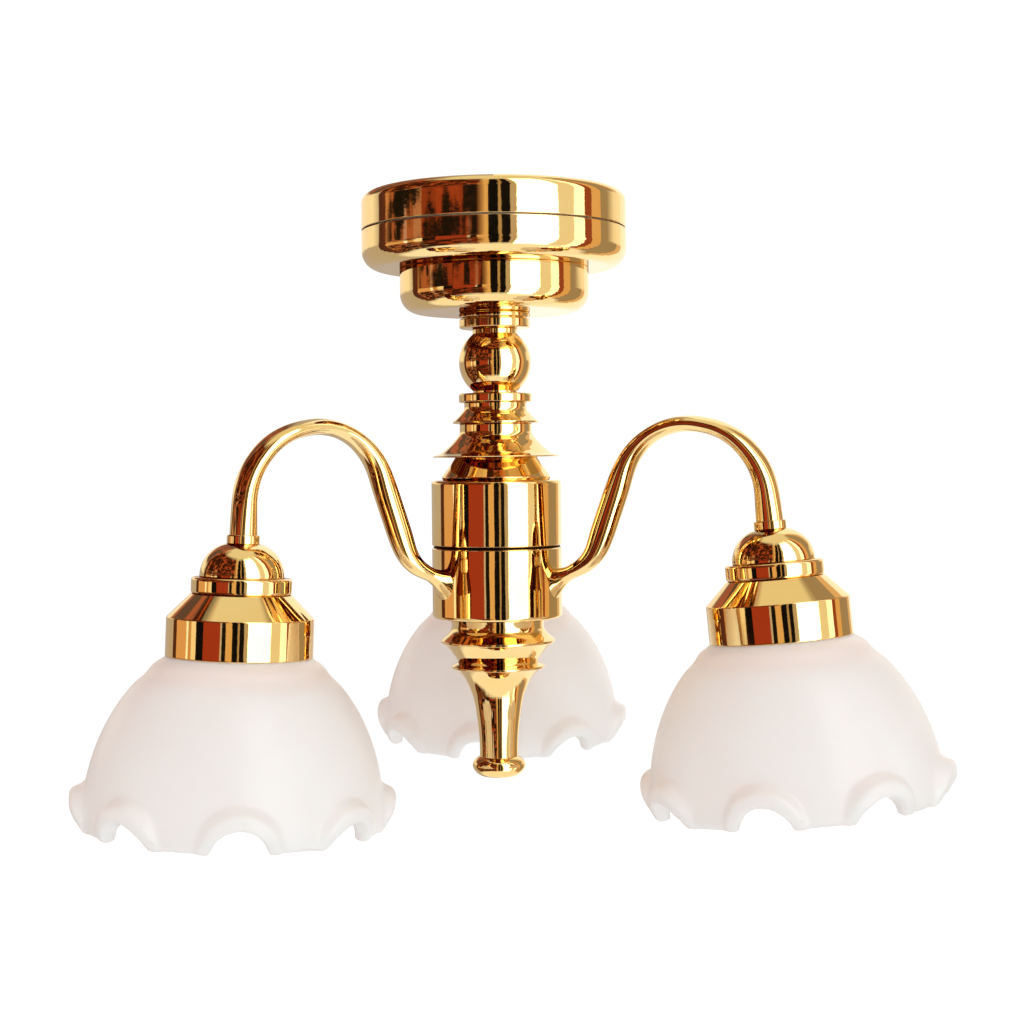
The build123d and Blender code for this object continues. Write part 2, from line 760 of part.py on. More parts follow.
with BuildPart() as finial:
    with BuildSketch(Plane.XZ):
        with BuildLine():
            Polyline(
                (0, tube_bottom),
                (tube_radius, tube_bottom),
                (tube_radius, finial_collar_bottom),
                (finial_collar_waist, finial_collar_bottom),
                (finial_lip_radius, finial_lip_top),
                (finial_lip_radius, finial_lip_bottom),
            )
            Spline(
                (finial_lip_radius, finial_lip_bottom),
                *finial_stalk_middles,
                (finial_stalk_radius, finial_stalk_end),
                tangents=((-1, -0.6), (0, -1)),
            )
            Line((finial_stalk_radius, finial_stalk_end), (finial_stalk_radius, finial_bun_top))
            Spline(
                (finial_stalk_radius, finial_bun_top),
                (finial_bun_radius, finial_bun_centre),
                (finial_bun_foot, finial_bottom),
                tangents=((1, -0.5), (-1, -0.4)),
            )
            Polyline((finial_bun_foot, finial_bottom), (0, finial_bottom), (0, tube_bottom))
        make_face()
    revolve(axis=Axis.Z)
finial.part.label = "finial"
export_step(finial.part, "parts/finial.step")

# ---------------------------------------------------------------- arms and lamp heads
for name, direction, lean, rise, turn in lamps:
    upright = arm_plane(direction)
    # The lamp leans outwards at its foot, so its own up-direction tips in towards the stem
    down_x = sin(radians(lean))
    down_y = -cos(radians(lean))
    end_z = arm_end_z + rise
    head_origin = upright.from_local_coords((arm_end_distance, end_z, 0))
    head_up = upright.from_local_coords((-down_x, -down_y, 0))
    head_across = upright.z_dir
    # Section plane of the lamp head: local x is the radius, local y is up along the lamp's own axis
    head_section = Plane(origin=head_origin, x_dir=head_up.cross(head_across), z_dir=head_across)
    head_level = Plane(origin=head_origin, x_dir=head_across, z_dir=head_up)
    head_axis = Axis(head_origin, head_up)
    tail = (arm_end_distance + arm_tail * down_x, end_z + arm_tail * down_y)
    arm_descent = (arm_end_distance - (arm_descent_z - end_z) * tan(radians(lean)), arm_descent_z)

    with BuildPart() as arm:
        with BuildLine(upright) as arm_line:
            FilletPolyline(
                arm_root,
                arm_knee,
                arm_shoulder,
                arm_crown,
                arm_descent,
                tail,
                radius=arm_bend_radii,
            )
        for share, across, within in arm_sections:
            here = arm_line.line @ share
            with BuildSketch(Plane(origin=here, x_dir=upright.z_dir, z_dir=arm_line.line % share)):
                Ellipse(across, within)
        sweep(path=arm_line.line, multisection=True)
        for share, across, within in arm_sections:
            here = arm_line.line @ share
            with BuildSketch(Plane(origin=here, x_dir=upright.z_dir, z_dir=arm_line.line % share)):
                Ellipse(across - arm_wall, within - arm_wall)
        sweep(path=arm_line.line, multisection=True, mode=Mode.SUBTRACT)
    arm.part.label = f"{name}_arm"
    export_step(arm.part, f"parts/{name}_arm.step")

    foot_start = upright.from_local_coords((arm_root[0], arm_root[1], 0))
    foot_way = (upright.from_local_coords((root_run.X, root_run.Y, 0)) - upright.origin).normalized()
    with BuildPart() as arm_foot:
        for reach, across, within in foot_sections:
            spot = foot_start + foot_way * reach
            with BuildSketch(Plane(origin=spot, x_dir=upright.z_dir, z_dir=foot_way)):
                Ellipse(across, within)
        loft()
        with BuildSketch(Plane(origin=foot_start, x_dir=upright.z_dir, z_dir=foot_way)):
            Ellipse(root_width, root_height)
        extrude(amount=foot_sections[-1][0], mode=Mode.SUBTRACT)
        with BuildSketch(Plane.XY.offset(drum_bottom)):
            Circle(drum_radius)
        extrude(amount=drum_seam - drum_bottom, mode=Mode.SUBTRACT)
    arm_foot.part.label = f"{name}_arm_foot"
    export_step(arm_foot.part, f"parts/{name}_arm_foot.step")

    lead_end = (arm_end_distance - led_leg_top * down_x, end_z - led_leg_top * down_y)
    with BuildPart() as arm_leads:
        for side in (-arm_lead_offset, arm_lead_offset):
            with BuildLine(upright.offset(side)) as lead_line:
                FilletPolyline(
                    (arm_lead_start, board_bottom),
                    (arm_lead_start, arm_root[1] - (arm_root[0] - arm_lead_start) * root_run.Y / root_run.X),
                    arm_knee,
                    arm_shoulder,
                    arm_crown,
                    arm_descent,
                    lead_end,
                    radius=(arm_lead_bend, *arm_bend_radii),
                )
            with BuildSketch(Plane(origin=lead_line.line @ 0, z_dir=lead_line.line % 0)):
                Circle(arm_lead_radius)
            sweep(path=lead_line.line)
    arm_leads.part.label = f"{name}_arm_leads"
    export_step(arm_leads.part, f"parts/{name}_arm_leads.step")

    tube_end_radius = arm_sections[-1][1]
    with BuildPart() as ferrule:
        with BuildSketch(head_level.offset(ferrule_bottom)):
            Circle(ferrule_radius)
        extrude(amount=-ferrule_bottom)
        fillet(ferrule.edges().filter_by(GeomType.CIRCLE), ferrule_edge_round)
        with BuildSketch(head_level.offset(ferrule_bottom)):
            Circle(tube_end_radius)
        extrude(amount=-ferrule_bottom, mode=Mode.SUBTRACT)
    ferrule.part.label = f"{name}_ferrule"
    export_step(ferrule.part, f"parts/{name}_ferrule.step")

    with BuildPart() as socket_dome:
        with BuildSketch(head_section):
            with BuildLine():
                Line((tube_end_radius, ferrule_bottom), (dome_top_radius, ferrule_bottom))
                ThreePointArc((dome_top_radius, ferrule_bottom), dome_middle, (dome_radius, dome_bottom))
                Line((dome_radius, dome_bottom), (dome_radius - head_wall, dome_bottom))
                ThreePointArc(
                    (dome_radius - head_wall, dome_bottom),
                    dome_inside_middle,
                    (tube_end_radius, dome_inside_top),
                )
                Line((tube_end_radius, dome_inside_top), (tube_end_radius, ferrule_bottom))
            make_face()
        revolve(axis=head_axis)
    socket_dome.part.label = f"{name}_socket_dome"
    export_step(socket_dome.part, f"parts/{name}_socket_dome.step")

    with BuildPart() as socket_ring:
        with BuildSketch(head_level.offset(socket_ring_bottom)):
            Circle(socket_ring_radius)
        extrude(amount=dome_bottom - socket_ring_bottom)
        fillet(socket_ring.edges().filter_by(GeomType.CIRCLE), socket_edge_round)
        with BuildSketch(head_level.offset(socket_ring_bottom)):
            Circle(dome_radius - head_wall)
        extrude(amount=dome_bottom - socket_ring_bottom, mode=Mode.SUBTRACT)
    socket_ring.part.label = f"{name}_socket_ring"
    export_step(socket_ring.part, f"parts/{name}_socket_ring.step")

    with BuildPart() as shade_gallery:
        with BuildSketch(head_section):
            with BuildLine():
                Polyline(
                    (gallery_hole_radius, socket_ring_bottom),
                    (socket_ring_radius, socket_ring_bottom),
                    (gallery_radius, gallery_shoulder),
                    (gallery_radius, gallery_bottom),
                    (gallery_radius - head_wall, gallery_bottom),
                    (gallery_radius - head_wall, gallery_shoulder - gallery_inside_drop),
                    (socket_ring_radius - gallery_inside_drop, socket_ring_bottom - head_wall),
                    (gallery_hole_radius, socket_ring_bottom - head_wall),
                    close=True,
                )
            make_face()
        revolve(axis=head_axis)
    shade_gallery.part.label = f"{name}_shade_gallery"
    export_step(shade_gallery.part, f"parts/{name}_shade_gallery.step")

    with BuildPart() as led_holder:
        with BuildSketch(head_level.offset(holder_bottom)):
            Circle(holder_radius)
            Circle(led_radius, mode=Mode.SUBTRACT)
        extrude(amount=led_flange_bottom - holder_bottom)
    led_holder.part.label = f"{name}_led_holder"
    export_step(led_holder.part, f"parts/{name}_led_holder.step")

    with BuildPart() as led:
        with BuildSketch(head_section):
            with BuildLine():
                Polyline(
                    (0, led_flange_top),
                    (led_flange_radius, led_flange_top),
                    (led_flange_radius, led_flange_bottom),
                    (led_radius, led_flange_bottom),
                    (led_radius, led_tip + led_radius),
                )
                RadiusArc((led_radius, led_tip + led_radius), (0, led_tip), led_radius)
                Line((0, led_tip), (0, led_flange_top))
            make_face()
        revolve(axis=head_axis)
        with BuildSketch(head_level.offset(led_flange_top)):
            with Locations((-arm_lead_offset, 0), (arm_lead_offset, 0)):
                Circle(led_leg_radius)
        extrude(amount=led_leg_top - led_flange_top)
    led.part.label = f"{name}_led"
    export_step(led.part, f"parts/{name}_led.step")

    bowl_centre = gallery_bottom - bowl_centre_depth
    rim_start = gallery_bottom - rim_start_depth
    rim_start_radius = bowl_half_width * sqrt(1 - ((rim_start - bowl_centre) / bowl_half_height) ** 2)
    rim_bottom = gallery_bottom - rim_depth
    neck_height = shade_neck_top - gallery_bottom + shade_neck_overlap
    lip_top = gallery_bottom - lip_top_depth
    with BuildPart() as shade:
        with BuildSketch(head_section):
            with Locations((0, bowl_centre)):
                Ellipse(bowl_half_width, bowl_half_height)
                Ellipse(bowl_half_width - shade_wall, bowl_half_height - shade_wall, mode=Mode.SUBTRACT)
            with Locations((0, gallery_bottom)):
                Rectangle(lip_radius, rim_start_depth, align=(Align.MIN, Align.MAX), mode=Mode.INTERSECT)
            with Locations((shade_neck_radius, shade_neck_top)):
                Rectangle(shade_wall, neck_height, align=(Align.MAX, Align.MAX))
            with BuildLine():
                Polyline(
                    (rim_start_radius, rim_start),
                    (rim_start_radius + rim_swell[0], rim_start + rim_swell[1]),
                    (rim_radius, rim_bottom),
                    (rim_radius - rim_thickness, rim_bottom + rim_bevel),
                    (rim_start_radius + rim_inside_swell[0], rim_start + rim_inside_swell[1]),
                    (rim_start_radius - shade_wall, rim_start),
                    close=True,
                )
            make_face()
        revolve(axis=head_axis)
        for k in range(arch_count):
            # Each arch has a lip that stands out over it
            facing = turn + k * 360 / arch_count
            outward = Vector(cos(radians(facing)), sin(radians(facing)), 0)
            outward = outward - head_up * outward.dot(head_up)
            outward = outward.normalized()
            lip_start = outward.rotate(Axis((0, 0, 0), head_up), -lip_angle / 2)
            lip_section = Plane(origin=head_origin, x_dir=lip_start, z_dir=lip_start.cross(head_up))
            with BuildSketch(lip_section):
                with BuildLine():
                    Polyline(
                        (lip_root_radius, lip_top),
                        (lip_radius - lip_bevel, lip_top - lip_bevel),
                        (lip_radius, lip_top - lip_crest),
                        (lip_radius, gallery_bottom - lip_depth),
                        (lip_radius - lip_thickness, gallery_bottom - lip_depth),
                        (lip_root_radius - lip_root_thickness[0], lip_top - lip_root_thickness[1]),
                        close=True,
                    )
                make_face()
            revolve(axis=head_axis, revolution_arc=lip_angle)
        for k in range(arch_count):
            facing = turn + k * 360 / arch_count
            outward = Vector(cos(radians(facing)), sin(radians(facing)), 0)
            outward = outward - head_up * outward.dot(head_up)
            outward = outward.normalized()
            arch_height = gallery_bottom - arch_centre_depth
            arch_origin = head_origin + head_up * arch_height + outward * arch_cut_start
            with BuildSketch(Plane(origin=arch_origin, x_dir=head_up, z_dir=outward)):
                Circle(arch_radius)
            extrude(amount=arch_cut_length, mode=Mode.SUBTRACT)
    shade.part.label = f"{name}_shade"
    export_step(shade.part, f"parts/{name}_shade.step")
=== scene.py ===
from math import cos, pi, radians, sin, sqrt, tan

import bpy
import bmesh
import numpy as np
from mathutils import Matrix, Vector


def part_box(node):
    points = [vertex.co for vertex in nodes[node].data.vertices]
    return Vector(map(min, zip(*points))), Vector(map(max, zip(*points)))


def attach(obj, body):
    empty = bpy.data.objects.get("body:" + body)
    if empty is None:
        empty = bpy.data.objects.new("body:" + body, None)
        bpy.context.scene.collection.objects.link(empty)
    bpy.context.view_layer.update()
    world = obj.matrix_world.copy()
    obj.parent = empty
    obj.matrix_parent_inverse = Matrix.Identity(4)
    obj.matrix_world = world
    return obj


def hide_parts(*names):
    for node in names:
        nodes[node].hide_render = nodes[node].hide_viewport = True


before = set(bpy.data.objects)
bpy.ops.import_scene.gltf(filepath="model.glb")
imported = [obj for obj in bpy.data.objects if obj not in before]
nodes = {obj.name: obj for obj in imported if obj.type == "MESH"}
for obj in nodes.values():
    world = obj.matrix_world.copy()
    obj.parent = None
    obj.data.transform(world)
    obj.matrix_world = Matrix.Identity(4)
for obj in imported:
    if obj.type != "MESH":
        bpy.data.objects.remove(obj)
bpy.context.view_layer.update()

# Looks of the dolls-house chandelier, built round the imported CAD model.
# Dimensions below are in millimetres and repeat the CAD model's; meshes are written in metres.
scene = bpy.context.scene
MM = 0.001

# ---------------------------------------------------------------- camera
camera_distance = 145.8
camera_height = -22.37
camera_roll = radians(0.6)
camera_data = bpy.data.cameras.new("camera")
camera = bpy.data.objects.new("camera", camera_data)
scene.collection.objects.link(camera)
camera_data.sensor_width = 36
camera_data.lens = 61.5
camera_data.shift_x = 0.0156
camera_data.shift_y = -0.0508
camera_data.clip_start = 0.01
camera_data.clip_end = 20
right = Vector((cos(camera_roll), 0, -sin(camera_roll)))
up = Vector((sin(camera_roll), 0, cos(camera_roll)))
camera_turn = Matrix((right, up, (0, -1, 0))).transposed().to_4x4()
camera.matrix_world = Matrix.Translation((0, -camera_distance * MM, camera_height * MM)) @ camera_turn
scene.camera = camera
scene.view_settings.view_transform = "Standard"


# ---------------------------------------------------------------- shader helpers
class Graph:
    """A node tree that is wired with short calls."""

    def __init__(self, tree):
        self.tree = tree
        tree.nodes.clear()

    def put(self, socket, value):
        if isinstance(value, bpy.types.NodeSocket):
            self.tree.links.new(value, socket)
        elif isinstance(value, (tuple, list)) and len(value) == 3 and socket.type == "RGBA":
            socket.default_value = (*value, 1)
        else:
            socket.default_value = value

    def add(self, kind, inputs=None, **settings):
        node = self.tree.nodes.new(kind)
        for key, value in settings.items():
            setattr(node, key, value)
        for key, value in (inputs or {}).items():
            self.put(node.inputs[key], value)
        return node

    def math(self, operation, a, b=0.0, clamp=False):
        node = self.add("ShaderNodeMath", {0: a, 1: b}, operation=operation, use_clamp=clamp)
        return node.outputs[0]

    def noise(self, vector, scale, detail=2.0, rough=0.5, distortion=0.0):
        values = {"Vector": vector, "Scale": scale, "Detail": detail, "Roughness": rough}
        values["Distortion"] = distortion
        return self.add("ShaderNodeTexNoise", values).outputs["Fac"]

    def mix(self, factor, a, b, blend="MIX"):
        node = self.tree.nodes.new("ShaderNodeMix")
        node.data_type = "RGBA"
        node.blend_type = blend
        self.put(node.inputs[0], factor)
        self.put(node.inputs[6], a)
        self.put(node.inputs[7], b)
        return node.outputs[2]

    def span(self, value, low, high, start=0.0, stop=1.0):
        """Maps value from low..high to start..stop, clamped."""
        values = {"Value": value, "From Min": low, "From Max": high, "To Min": start, "To Max": stop}
        return self.add("ShaderNodeMapRange", values).outputs[0]

    def ramp(self, value, stops, interpolation="LINEAR"):
        node = self.add("ShaderNodeValToRGB", {0: value})
        band = node.color_ramp
        band.interpolation = interpolation
        while len(band.elements) > 1:
            band.elements.remove(band.elements[-1])
        band.elements[0].position = stops[0][0]
        band.elements[0].color = (*stops[0][1], 1)
        for position, colour in stops[1:]:
            band.elements.new(position).color = (*colour, 1)
        return node.outputs[0]


def new_material(name):
    material = bpy.data.materials.new(name)
    material.use_nodes = True
    graph = Graph(material.node_tree)
    shader = graph.add("ShaderNodeBsdfPrincipled")
    output = graph.add("ShaderNodeOutputMaterial")
    graph.tree.links.new(shader.outputs[0], output.inputs["Surface"])
    where = graph.add("ShaderNodeTexCoord").outputs["Object"]
    return material, graph, shader, where


def set_shader(graph, shader, **values):
    for key, value in values.items():
        graph.put(shader.inputs[key.replace("_", " ")], value)


def bump(graph, shader, height, depth_mm, strength=1.0):
    values = {"Height": height, "Distance": depth_mm * MM, "Strength": strength}
    graph.put(shader.inputs["Normal"], graph.add("ShaderNodeBump", values).outputs[0])


# ---------------------------------------------------------------- materials
def make_gold(name, colour, deep, polish, ripple):
    """Polished plating: faint ripples, hand-rubbed haze, and thinner, warmer plating on sharp edges."""
    material, graph, shader, where = new_material(name)
    broad = graph.noise(where, 180, 2, 0.5)
    fine = graph.noise(where, 2600, 3, 0.6)
    edge = graph.add("ShaderNodeAttribute", attribute_name="edge").outputs["Fac"]
    tone = graph.mix(graph.span(broad, 0.35, 0.7), colour, deep)
    patches = graph.span(graph.noise(where, 900, 2), 0.35, 0.65)
    worn = graph.math("MULTIPLY", graph.span(edge, 0, 1), patches)
    tone = graph.mix(graph.math("MULTIPLY", worn, 0.45), tone, (0.93, 0.56, 0.25))
    # Seams are marked by an edge value below zero: old polish sits in them
    grime = graph.span(edge, -0.1, -0.8)
    set_shader(graph, shader, Base_Color=graph.mix(grime, tone, (0.06, 0.022, 0.01)))
    rub = graph.math("ADD", graph.math("MULTIPLY", worn, 0.06), graph.math("MULTIPLY", grime, 0.4))
    haze = graph.span(fine, 0.4, 0.75, polish, polish + 0.035)
    set_shader(graph, shader, Roughness=graph.math("ADD", haze, rub))
    shader.inputs["Metallic"].default_value = 1.0
    waves = graph.math("MULTIPLY", graph.noise(where, 420, 1), ripple)
    height = graph.math("ADD", waves, graph.math("MULTIPLY", fine, 0.03))
    bump(graph, shader, height, 0.03)
    return material


def make_glass():
    """Acid-frosted glass with a faint rose tint: soft inside, satin outside."""
    material, graph, shader, where = new_material("frosted_glass")
    cloud = graph.noise(where, 160, 3, 0.55)
    grain = graph.noise(where, 5200, 2, 0.6)
    painted_light_mask = graph.add("ShaderNodeAttribute", attribute_name="edge").outputs["Fac"]
    tint_and_painted_light = graph.mix(graph.span(cloud, 0.35, 0.7), (0.955, 0.925, 0.925), (0.935, 0.895, 0.893))
    # The edge mark carries painted light on the glass: a painted reflection of the brass gallery and
    # painted shade just under the collar, and painted shade along the rim's edges
    tint_and_painted_light = graph.mix(painted_light_mask, tint_and_painted_light, (0.93, 0.80, 0.76))
    set_shader(graph, shader, Base_Color=tint_and_painted_light)
    set_shader(graph, shader, Roughness=graph.span(grain, 0.3, 0.7, 0.36, 0.46))
    shader.inputs["Subsurface Weight"].default_value = 0.85
    shader.inputs["Subsurface Radius"].default_value = (1.0, 0.9, 0.88)
    shader.inputs["Subsurface Scale"].default_value = 1.2 * MM
    shader.inputs["IOR"].default_value = 1.5
    shader.inputs["Coat Weight"].default_value = 0.4
    shader.inputs["Coat Roughness"].default_value = 0.3
    height = graph.math("ADD", graph.math("MULTIPLY", grain, 0.25), cloud)
    bump(graph, shader, height, 0.02)
    return material


def make_plain(name, light, dark, scale, rough, metallic=0.0, depth=0.004, **extra):
    """A quiet everyday finish: two close tones in a cloud, fine grain, and grain in the roughness."""
    material, graph, shader, where = new_material(name)
    cloud = graph.noise(where, scale, 3, 0.6)
    grain = graph.noise(where, scale * 9, 2, 0.6)
    set_shader(graph, shader, Base_Color=graph.mix(graph.span(cloud, 0.3, 0.7), light, dark))
    set_shader(graph, shader, Roughness=graph.span(grain, 0.3, 0.7, rough * 0.8, rough * 1.2))
    shader.inputs["Metallic"].default_value = metallic
    for key, value in extra.items():
        shader.inputs[key.replace("_", " ")].default_value = value
    bump(graph, shader, grain, depth)
    return material


def make_foam():
    """Closed-cell adhesive foam: small pits between the cells."""
    material, graph, shader, where = new_material("adhesive_foam")
    cells = graph.add("ShaderNodeTexVoronoi", {"Vector": where, "Scale": 2600}).outputs["Distance"]
    cloud = graph.noise(where, 260, 3)
    pale = graph.mix(graph.span(cloud, 0.3, 0.7), (0.86, 0.85, 0.81), (0.8, 0.79, 0.74))
    # The pits are painted darker than the rest of the foam: painted shade in them
    foam = graph.mix(graph.span(cells, 0.0, 0.5), (0.62, 0.61, 0.57), pale)
    set_shader(graph, shader, Base_Color=foam)
    set_shader(graph, shader, Roughness=graph.span(cells, 0.0, 0.6, 0.95, 0.75))
    bump(graph, shader, cells, 0.05)
    return material


finishes = {
    "gold_plate": make_gold("gold_plate", (1.0, 0.76, 0.36), (1.0, 0.71, 0.29), 0.025, 0.16),
    "raw_brass": make_gold("raw_brass", (0.93, 0.72, 0.40), (0.86, 0.62, 0.30), 0.16, 0.3),
    "frosted_glass": make_glass(),
    "adhesive_foam": make_foam(),
    "nickel_plate": make_plain("nickel_plate", (0.78, 0.76, 0.72), (0.70, 0.68, 0.65), 300, 0.22, 1.0),
    "cell_steel": make_plain("cell_steel", (0.72, 0.73, 0.74), (0.62, 0.63, 0.64), 240, 0.28, 1.0),
    "clear_film": make_plain("clear_film", (0.90, 0.72, 0.42), (0.84, 0.64, 0.34), 300, 0.25),
    "white_plastic": make_plain("white_plastic", (0.86, 0.85, 0.82), (0.80, 0.79, 0.75), 220, 0.42),
    "black_plastic": make_plain("black_plastic", (0.035, 0.035, 0.037), (0.02, 0.02, 0.022), 260, 0.45),
    "resistor_body": make_plain("resistor_body", (0.76, 0.62, 0.42), (0.68, 0.53, 0.34), 500, 0.4),
    "red_wire": make_plain("red_wire", (0.62, 0.03, 0.03), (0.5, 0.02, 0.02), 600, 0.4),
    "black_wire": make_plain("black_wire", (0.03, 0.03, 0.03), (0.018, 0.018, 0.018), 600, 0.4),
    "enamel_wire": make_plain("enamel_wire", (0.72, 0.30, 0.12), (0.6, 0.22, 0.08), 900, 0.25, 1.0),
    "board_laminate": make_plain("board_laminate", (0.10, 0.33, 0.16), (0.07, 0.26, 0.12), 500, 0.4),
    "led_epoxy": make_plain(
        "led_epoxy", (0.97, 0.93, 0.80), (0.95, 0.89, 0.72), 500, 0.12, Transmission_Weight=0.55, IOR=1.53
    ),
}

# ---------------------------------------------------------------- mesh helpers
edge_round = 0.07
hold_reach = 0.035
seam_reach = 0.13
longest_run = 0.45
sharp_turn = radians(14)


def arc_points(before, corner, after, radius, steps=6, room=0.48):
    """The small arc that rounds a corner of an outline."""
    u, v = before - corner, after - corner
    lu, lv = np.linalg.norm(u), np.linalg.norm(v)
    u, v = u / lu, v / lv
    half = np.arccos(np.clip(u @ v, -1, 1)) / 2
    reach = min(radius / tan(half), room * lu, room * lv)
    radius = reach * tan(half)
    middle = (u + v) / np.linalg.norm(u + v)
    centre = corner + middle * radius / sin(half)
    start, stop = corner + u * reach - centre, corner + v * reach - centre
    turn = pi - 2 * half
    points = []
    for k in range(steps + 1):
        share = k / steps
        points.append(centre + (sin((1 - share) * turn) * start + sin(share * turn) * stop) / sin(turn))
    return points


def curve_points(knots, leave, arrive, steps=14):
    """A smooth curve through knots, with the directions at its two ends given."""
    knots = [np.array(k, float) for k in knots]
    lengths = [np.linalg.norm(b - a) for a, b in zip(knots, knots[1:])]
    slopes = [np.array(leave, float) / np.linalg.norm(leave)]
    for k in range(1, len(knots) - 1):
        before, after = knots[k] - knots[k - 1], knots[k + 1] - knots[k]
        way = before / lengths[k - 1] ** 2 + after / lengths[k] ** 2
        slopes.append(way / np.linalg.norm(way))
    slopes.append(np.array(arrive, float) / np.linalg.norm(arrive))
    points = [tuple(knots[0])]
    for k, length in enumerate(lengths):
        for step in range(1, steps + 1):
            t = step / steps
            h00, h10 = 2 * t**3 - 3 * t**2 + 1, t**3 - 2 * t**2 + t
            h01, h11 = -2 * t**3 + 3 * t**2, t**3 - t**2
            at = h00 * knots[k] + h01 * knots[k + 1] + length * (h10 * slopes[k] + h11 * slopes[k + 1])
            points.append(tuple(at))
    return points


def outline(points):
    """Rounds the sharp corners of (radius, height[, corner radius]) points and holds the flats.

    An outline that starts off the axis closes on itself. Gives the points, a mark of 1 for each point
    on a small rounded corner, and whether the outline is closed."""
    rounds = [p[2] if len(p) > 2 else edge_round for p in points]
    spots = [np.array(p[:2], float) for p in points]
    closed = spots[0][0] > 1e-6
    if closed and np.allclose(spots[0], spots[-1]):
        spots, rounds = spots[:-1], rounds[:-1]
    done, edges = [], []
    count = len(spots)
    for k, spot in enumerate(spots):
        inner = closed or 0 < k < count - 1
        before, after = spots[k - 1], spots[(k + 1) % count]
        turn = 0
        if inner:
            a, b = spot - before, after - spot
            turn = np.arccos(np.clip(a @ b / np.linalg.norm(a) / np.linalg.norm(b), -1, 1))
        if turn > sharp_turn:
            wide = rounds[k] > 4 * edge_round
            corner = arc_points(before, spot, after, rounds[k], 16 if wide else 6)
            done += corner
            edges += [0.0 if wide else 1.0] * len(corner)
        else:
            done.append(spot)
            edges.append(0.0)
    final, near = [], []
    total = len(done)
    for k in range(total if closed else total - 1):
        a, b = done[k], done[(k + 1) % total]
        run = np.linalg.norm(b - a)
        shares = [0.0]
        if run > 4 * hold_reach:
            pieces = max(1, int(run / longest_run))
            first, last = hold_reach / run, 1 - hold_reach / run
            between = [p / pieces for p in range(1, pieces)]
            shares += [first, *[share for share in between if first < share < last], last]
        for share in shares:
            final.append(a + (b - a) * share)
            near.append(edges[k] if share == 0 else 0.0)
    if not closed:
        final.append(done[-1])
        near.append(edges[-1])
    return np.array(final), np.array(near), closed


def place_mesh(name, points_mm, faces, matrix, edge):
    """A smooth-shaded object; edge is the mark that the finish reads at every point."""
    mesh = bpy.data.meshes.new(name)
    points = np.asarray(points_mm, float) * MM
    if matrix is not None:
        move = np.array(matrix)
        points = points @ move[:3, :3].T + move[:3, 3]
    mesh.from_pydata(points.tolist(), [], faces)
    marks = mesh.attributes.new("edge", "FLOAT", "POINT").data
    marks.foreach_set("value", np.asarray(edge, np.float32))
    work = bmesh.new()
    work.from_mesh(mesh)
    bmesh.ops.recalc_face_normals(work, faces=work.faces)
    work.to_mesh(mesh)
    work.free()
    mesh.polygons.foreach_set("use_smooth", [True] * len(mesh.polygons))
    mesh.validate()
    piece = bpy.data.objects.new(name, mesh)
    scene.collection.objects.link(piece)
    return piece


def grid_faces(rows, columns, wrap_rows):
    """Quads of a tube: rows of points that close on themselves along the columns."""
    faces = []
    for i in range(rows if wrap_rows else rows - 1):
        low, high = i * columns, (i + 1) % rows * columns
        for j in range(columns):
            after = (j + 1) % columns
            faces.append((low + j, low + after, high + after, high + j))
    return faces


def end_faces(rows, columns):
    """Fans that close the two ends of a tube, round one middle point each, put after the rows."""
    first, last, tail = rows * columns, rows * columns + 1, (rows - 1) * columns
    faces = [(first, (j + 1) % columns, j) for j in range(columns)]
    return faces + [(last, tail + j, tail + (j + 1) % columns) for j in range(columns)]


def adopt(piece, node, slot, body="lamp"):
    """The piece stands for a CAD node, rides on its body and takes its finish."""
    piece.data.materials.append(finishes[slot])
    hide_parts(node)
    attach(piece, body)
    return piece


def turned(name, points, matrix=None, segments=144, seams=()):
    """A piece turned on a lathe: the outline goes round the piece's own axis. Points by a seam get -1."""
    spots, near, closed = outline(points)
    for seam_at in seams:
        near[np.hypot(*(spots - np.array(seam_at)).T) < seam_reach] = -1.0
    angles = np.arange(segments) * 2 * pi / segments
    ring = np.stack([np.cos(angles), np.sin(angles)], 1)
    inner = spots if closed else spots[1:-1]
    edge = near if closed else near[1:-1]
    coords, weights = [], []
    for (r, z), weight in zip(inner, edge):
        coords.append(np.column_stack([ring * r, np.full(segments, z)]))
        weights += [weight] * segments
    coords = np.concatenate(coords)
    faces = grid_faces(len(inner), segments, closed)
    if not closed:
        coords = np.vstack([coords, [0, 0, spots[0][1]], [0, 0, spots[-1][1]]])
        weights += [0.0, 0.0]
        faces += end_faces(len(inner), segments)
    return place_mesh(name, coords, faces, matrix, weights)


# ---------------------------------------------------------------- canopy and stem
tube = 1.1
canopy_radius, canopy_wall = 11.0, 0.5
cap_top, cap_round, seam, seam_gap = -0.2, 1.6, -3.32, 0.1
recess_radius, recess_bottom, plate_bottom = 9.15, -0.8, -1.3
base_bottom, base_round, base_hole = -6.47, 2.4, 6.6
step_radius, step_bottom, step_round = 7.86, -10.12, 1.6

pad_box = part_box("adhesive_pad")
pad_radius, pad_bottom = (pad_box[1].x - pad_box[0].x) / 2 / MM, pad_box[0].z / MM
pad_round = 0.12
pad_outline = [(0, 0), (pad_radius, 0, pad_round), (pad_radius, pad_bottom, pad_round), (0, pad_bottom)]
adopt(turned("adhesive_pad_foam", pad_outline), "adhesive_pad", "adhesive_foam", "ceiling_side")

cap_bottom = seam + seam_gap / 2
cap_inner = canopy_radius - canopy_wall
cap_outline = [
    (0, recess_bottom),
    (recess_radius, recess_bottom),
    (recess_radius, cap_top),
    (canopy_radius, cap_top, cap_round),
    (canopy_radius, cap_bottom),
    (cap_inner, cap_bottom),
    (cap_inner, plate_bottom),
    (0, plate_bottom),
]
adopt(turned("ceiling_cap_shell", cap_outline, segments=216), "ceiling_cap", "gold_plate", "ceiling_side")

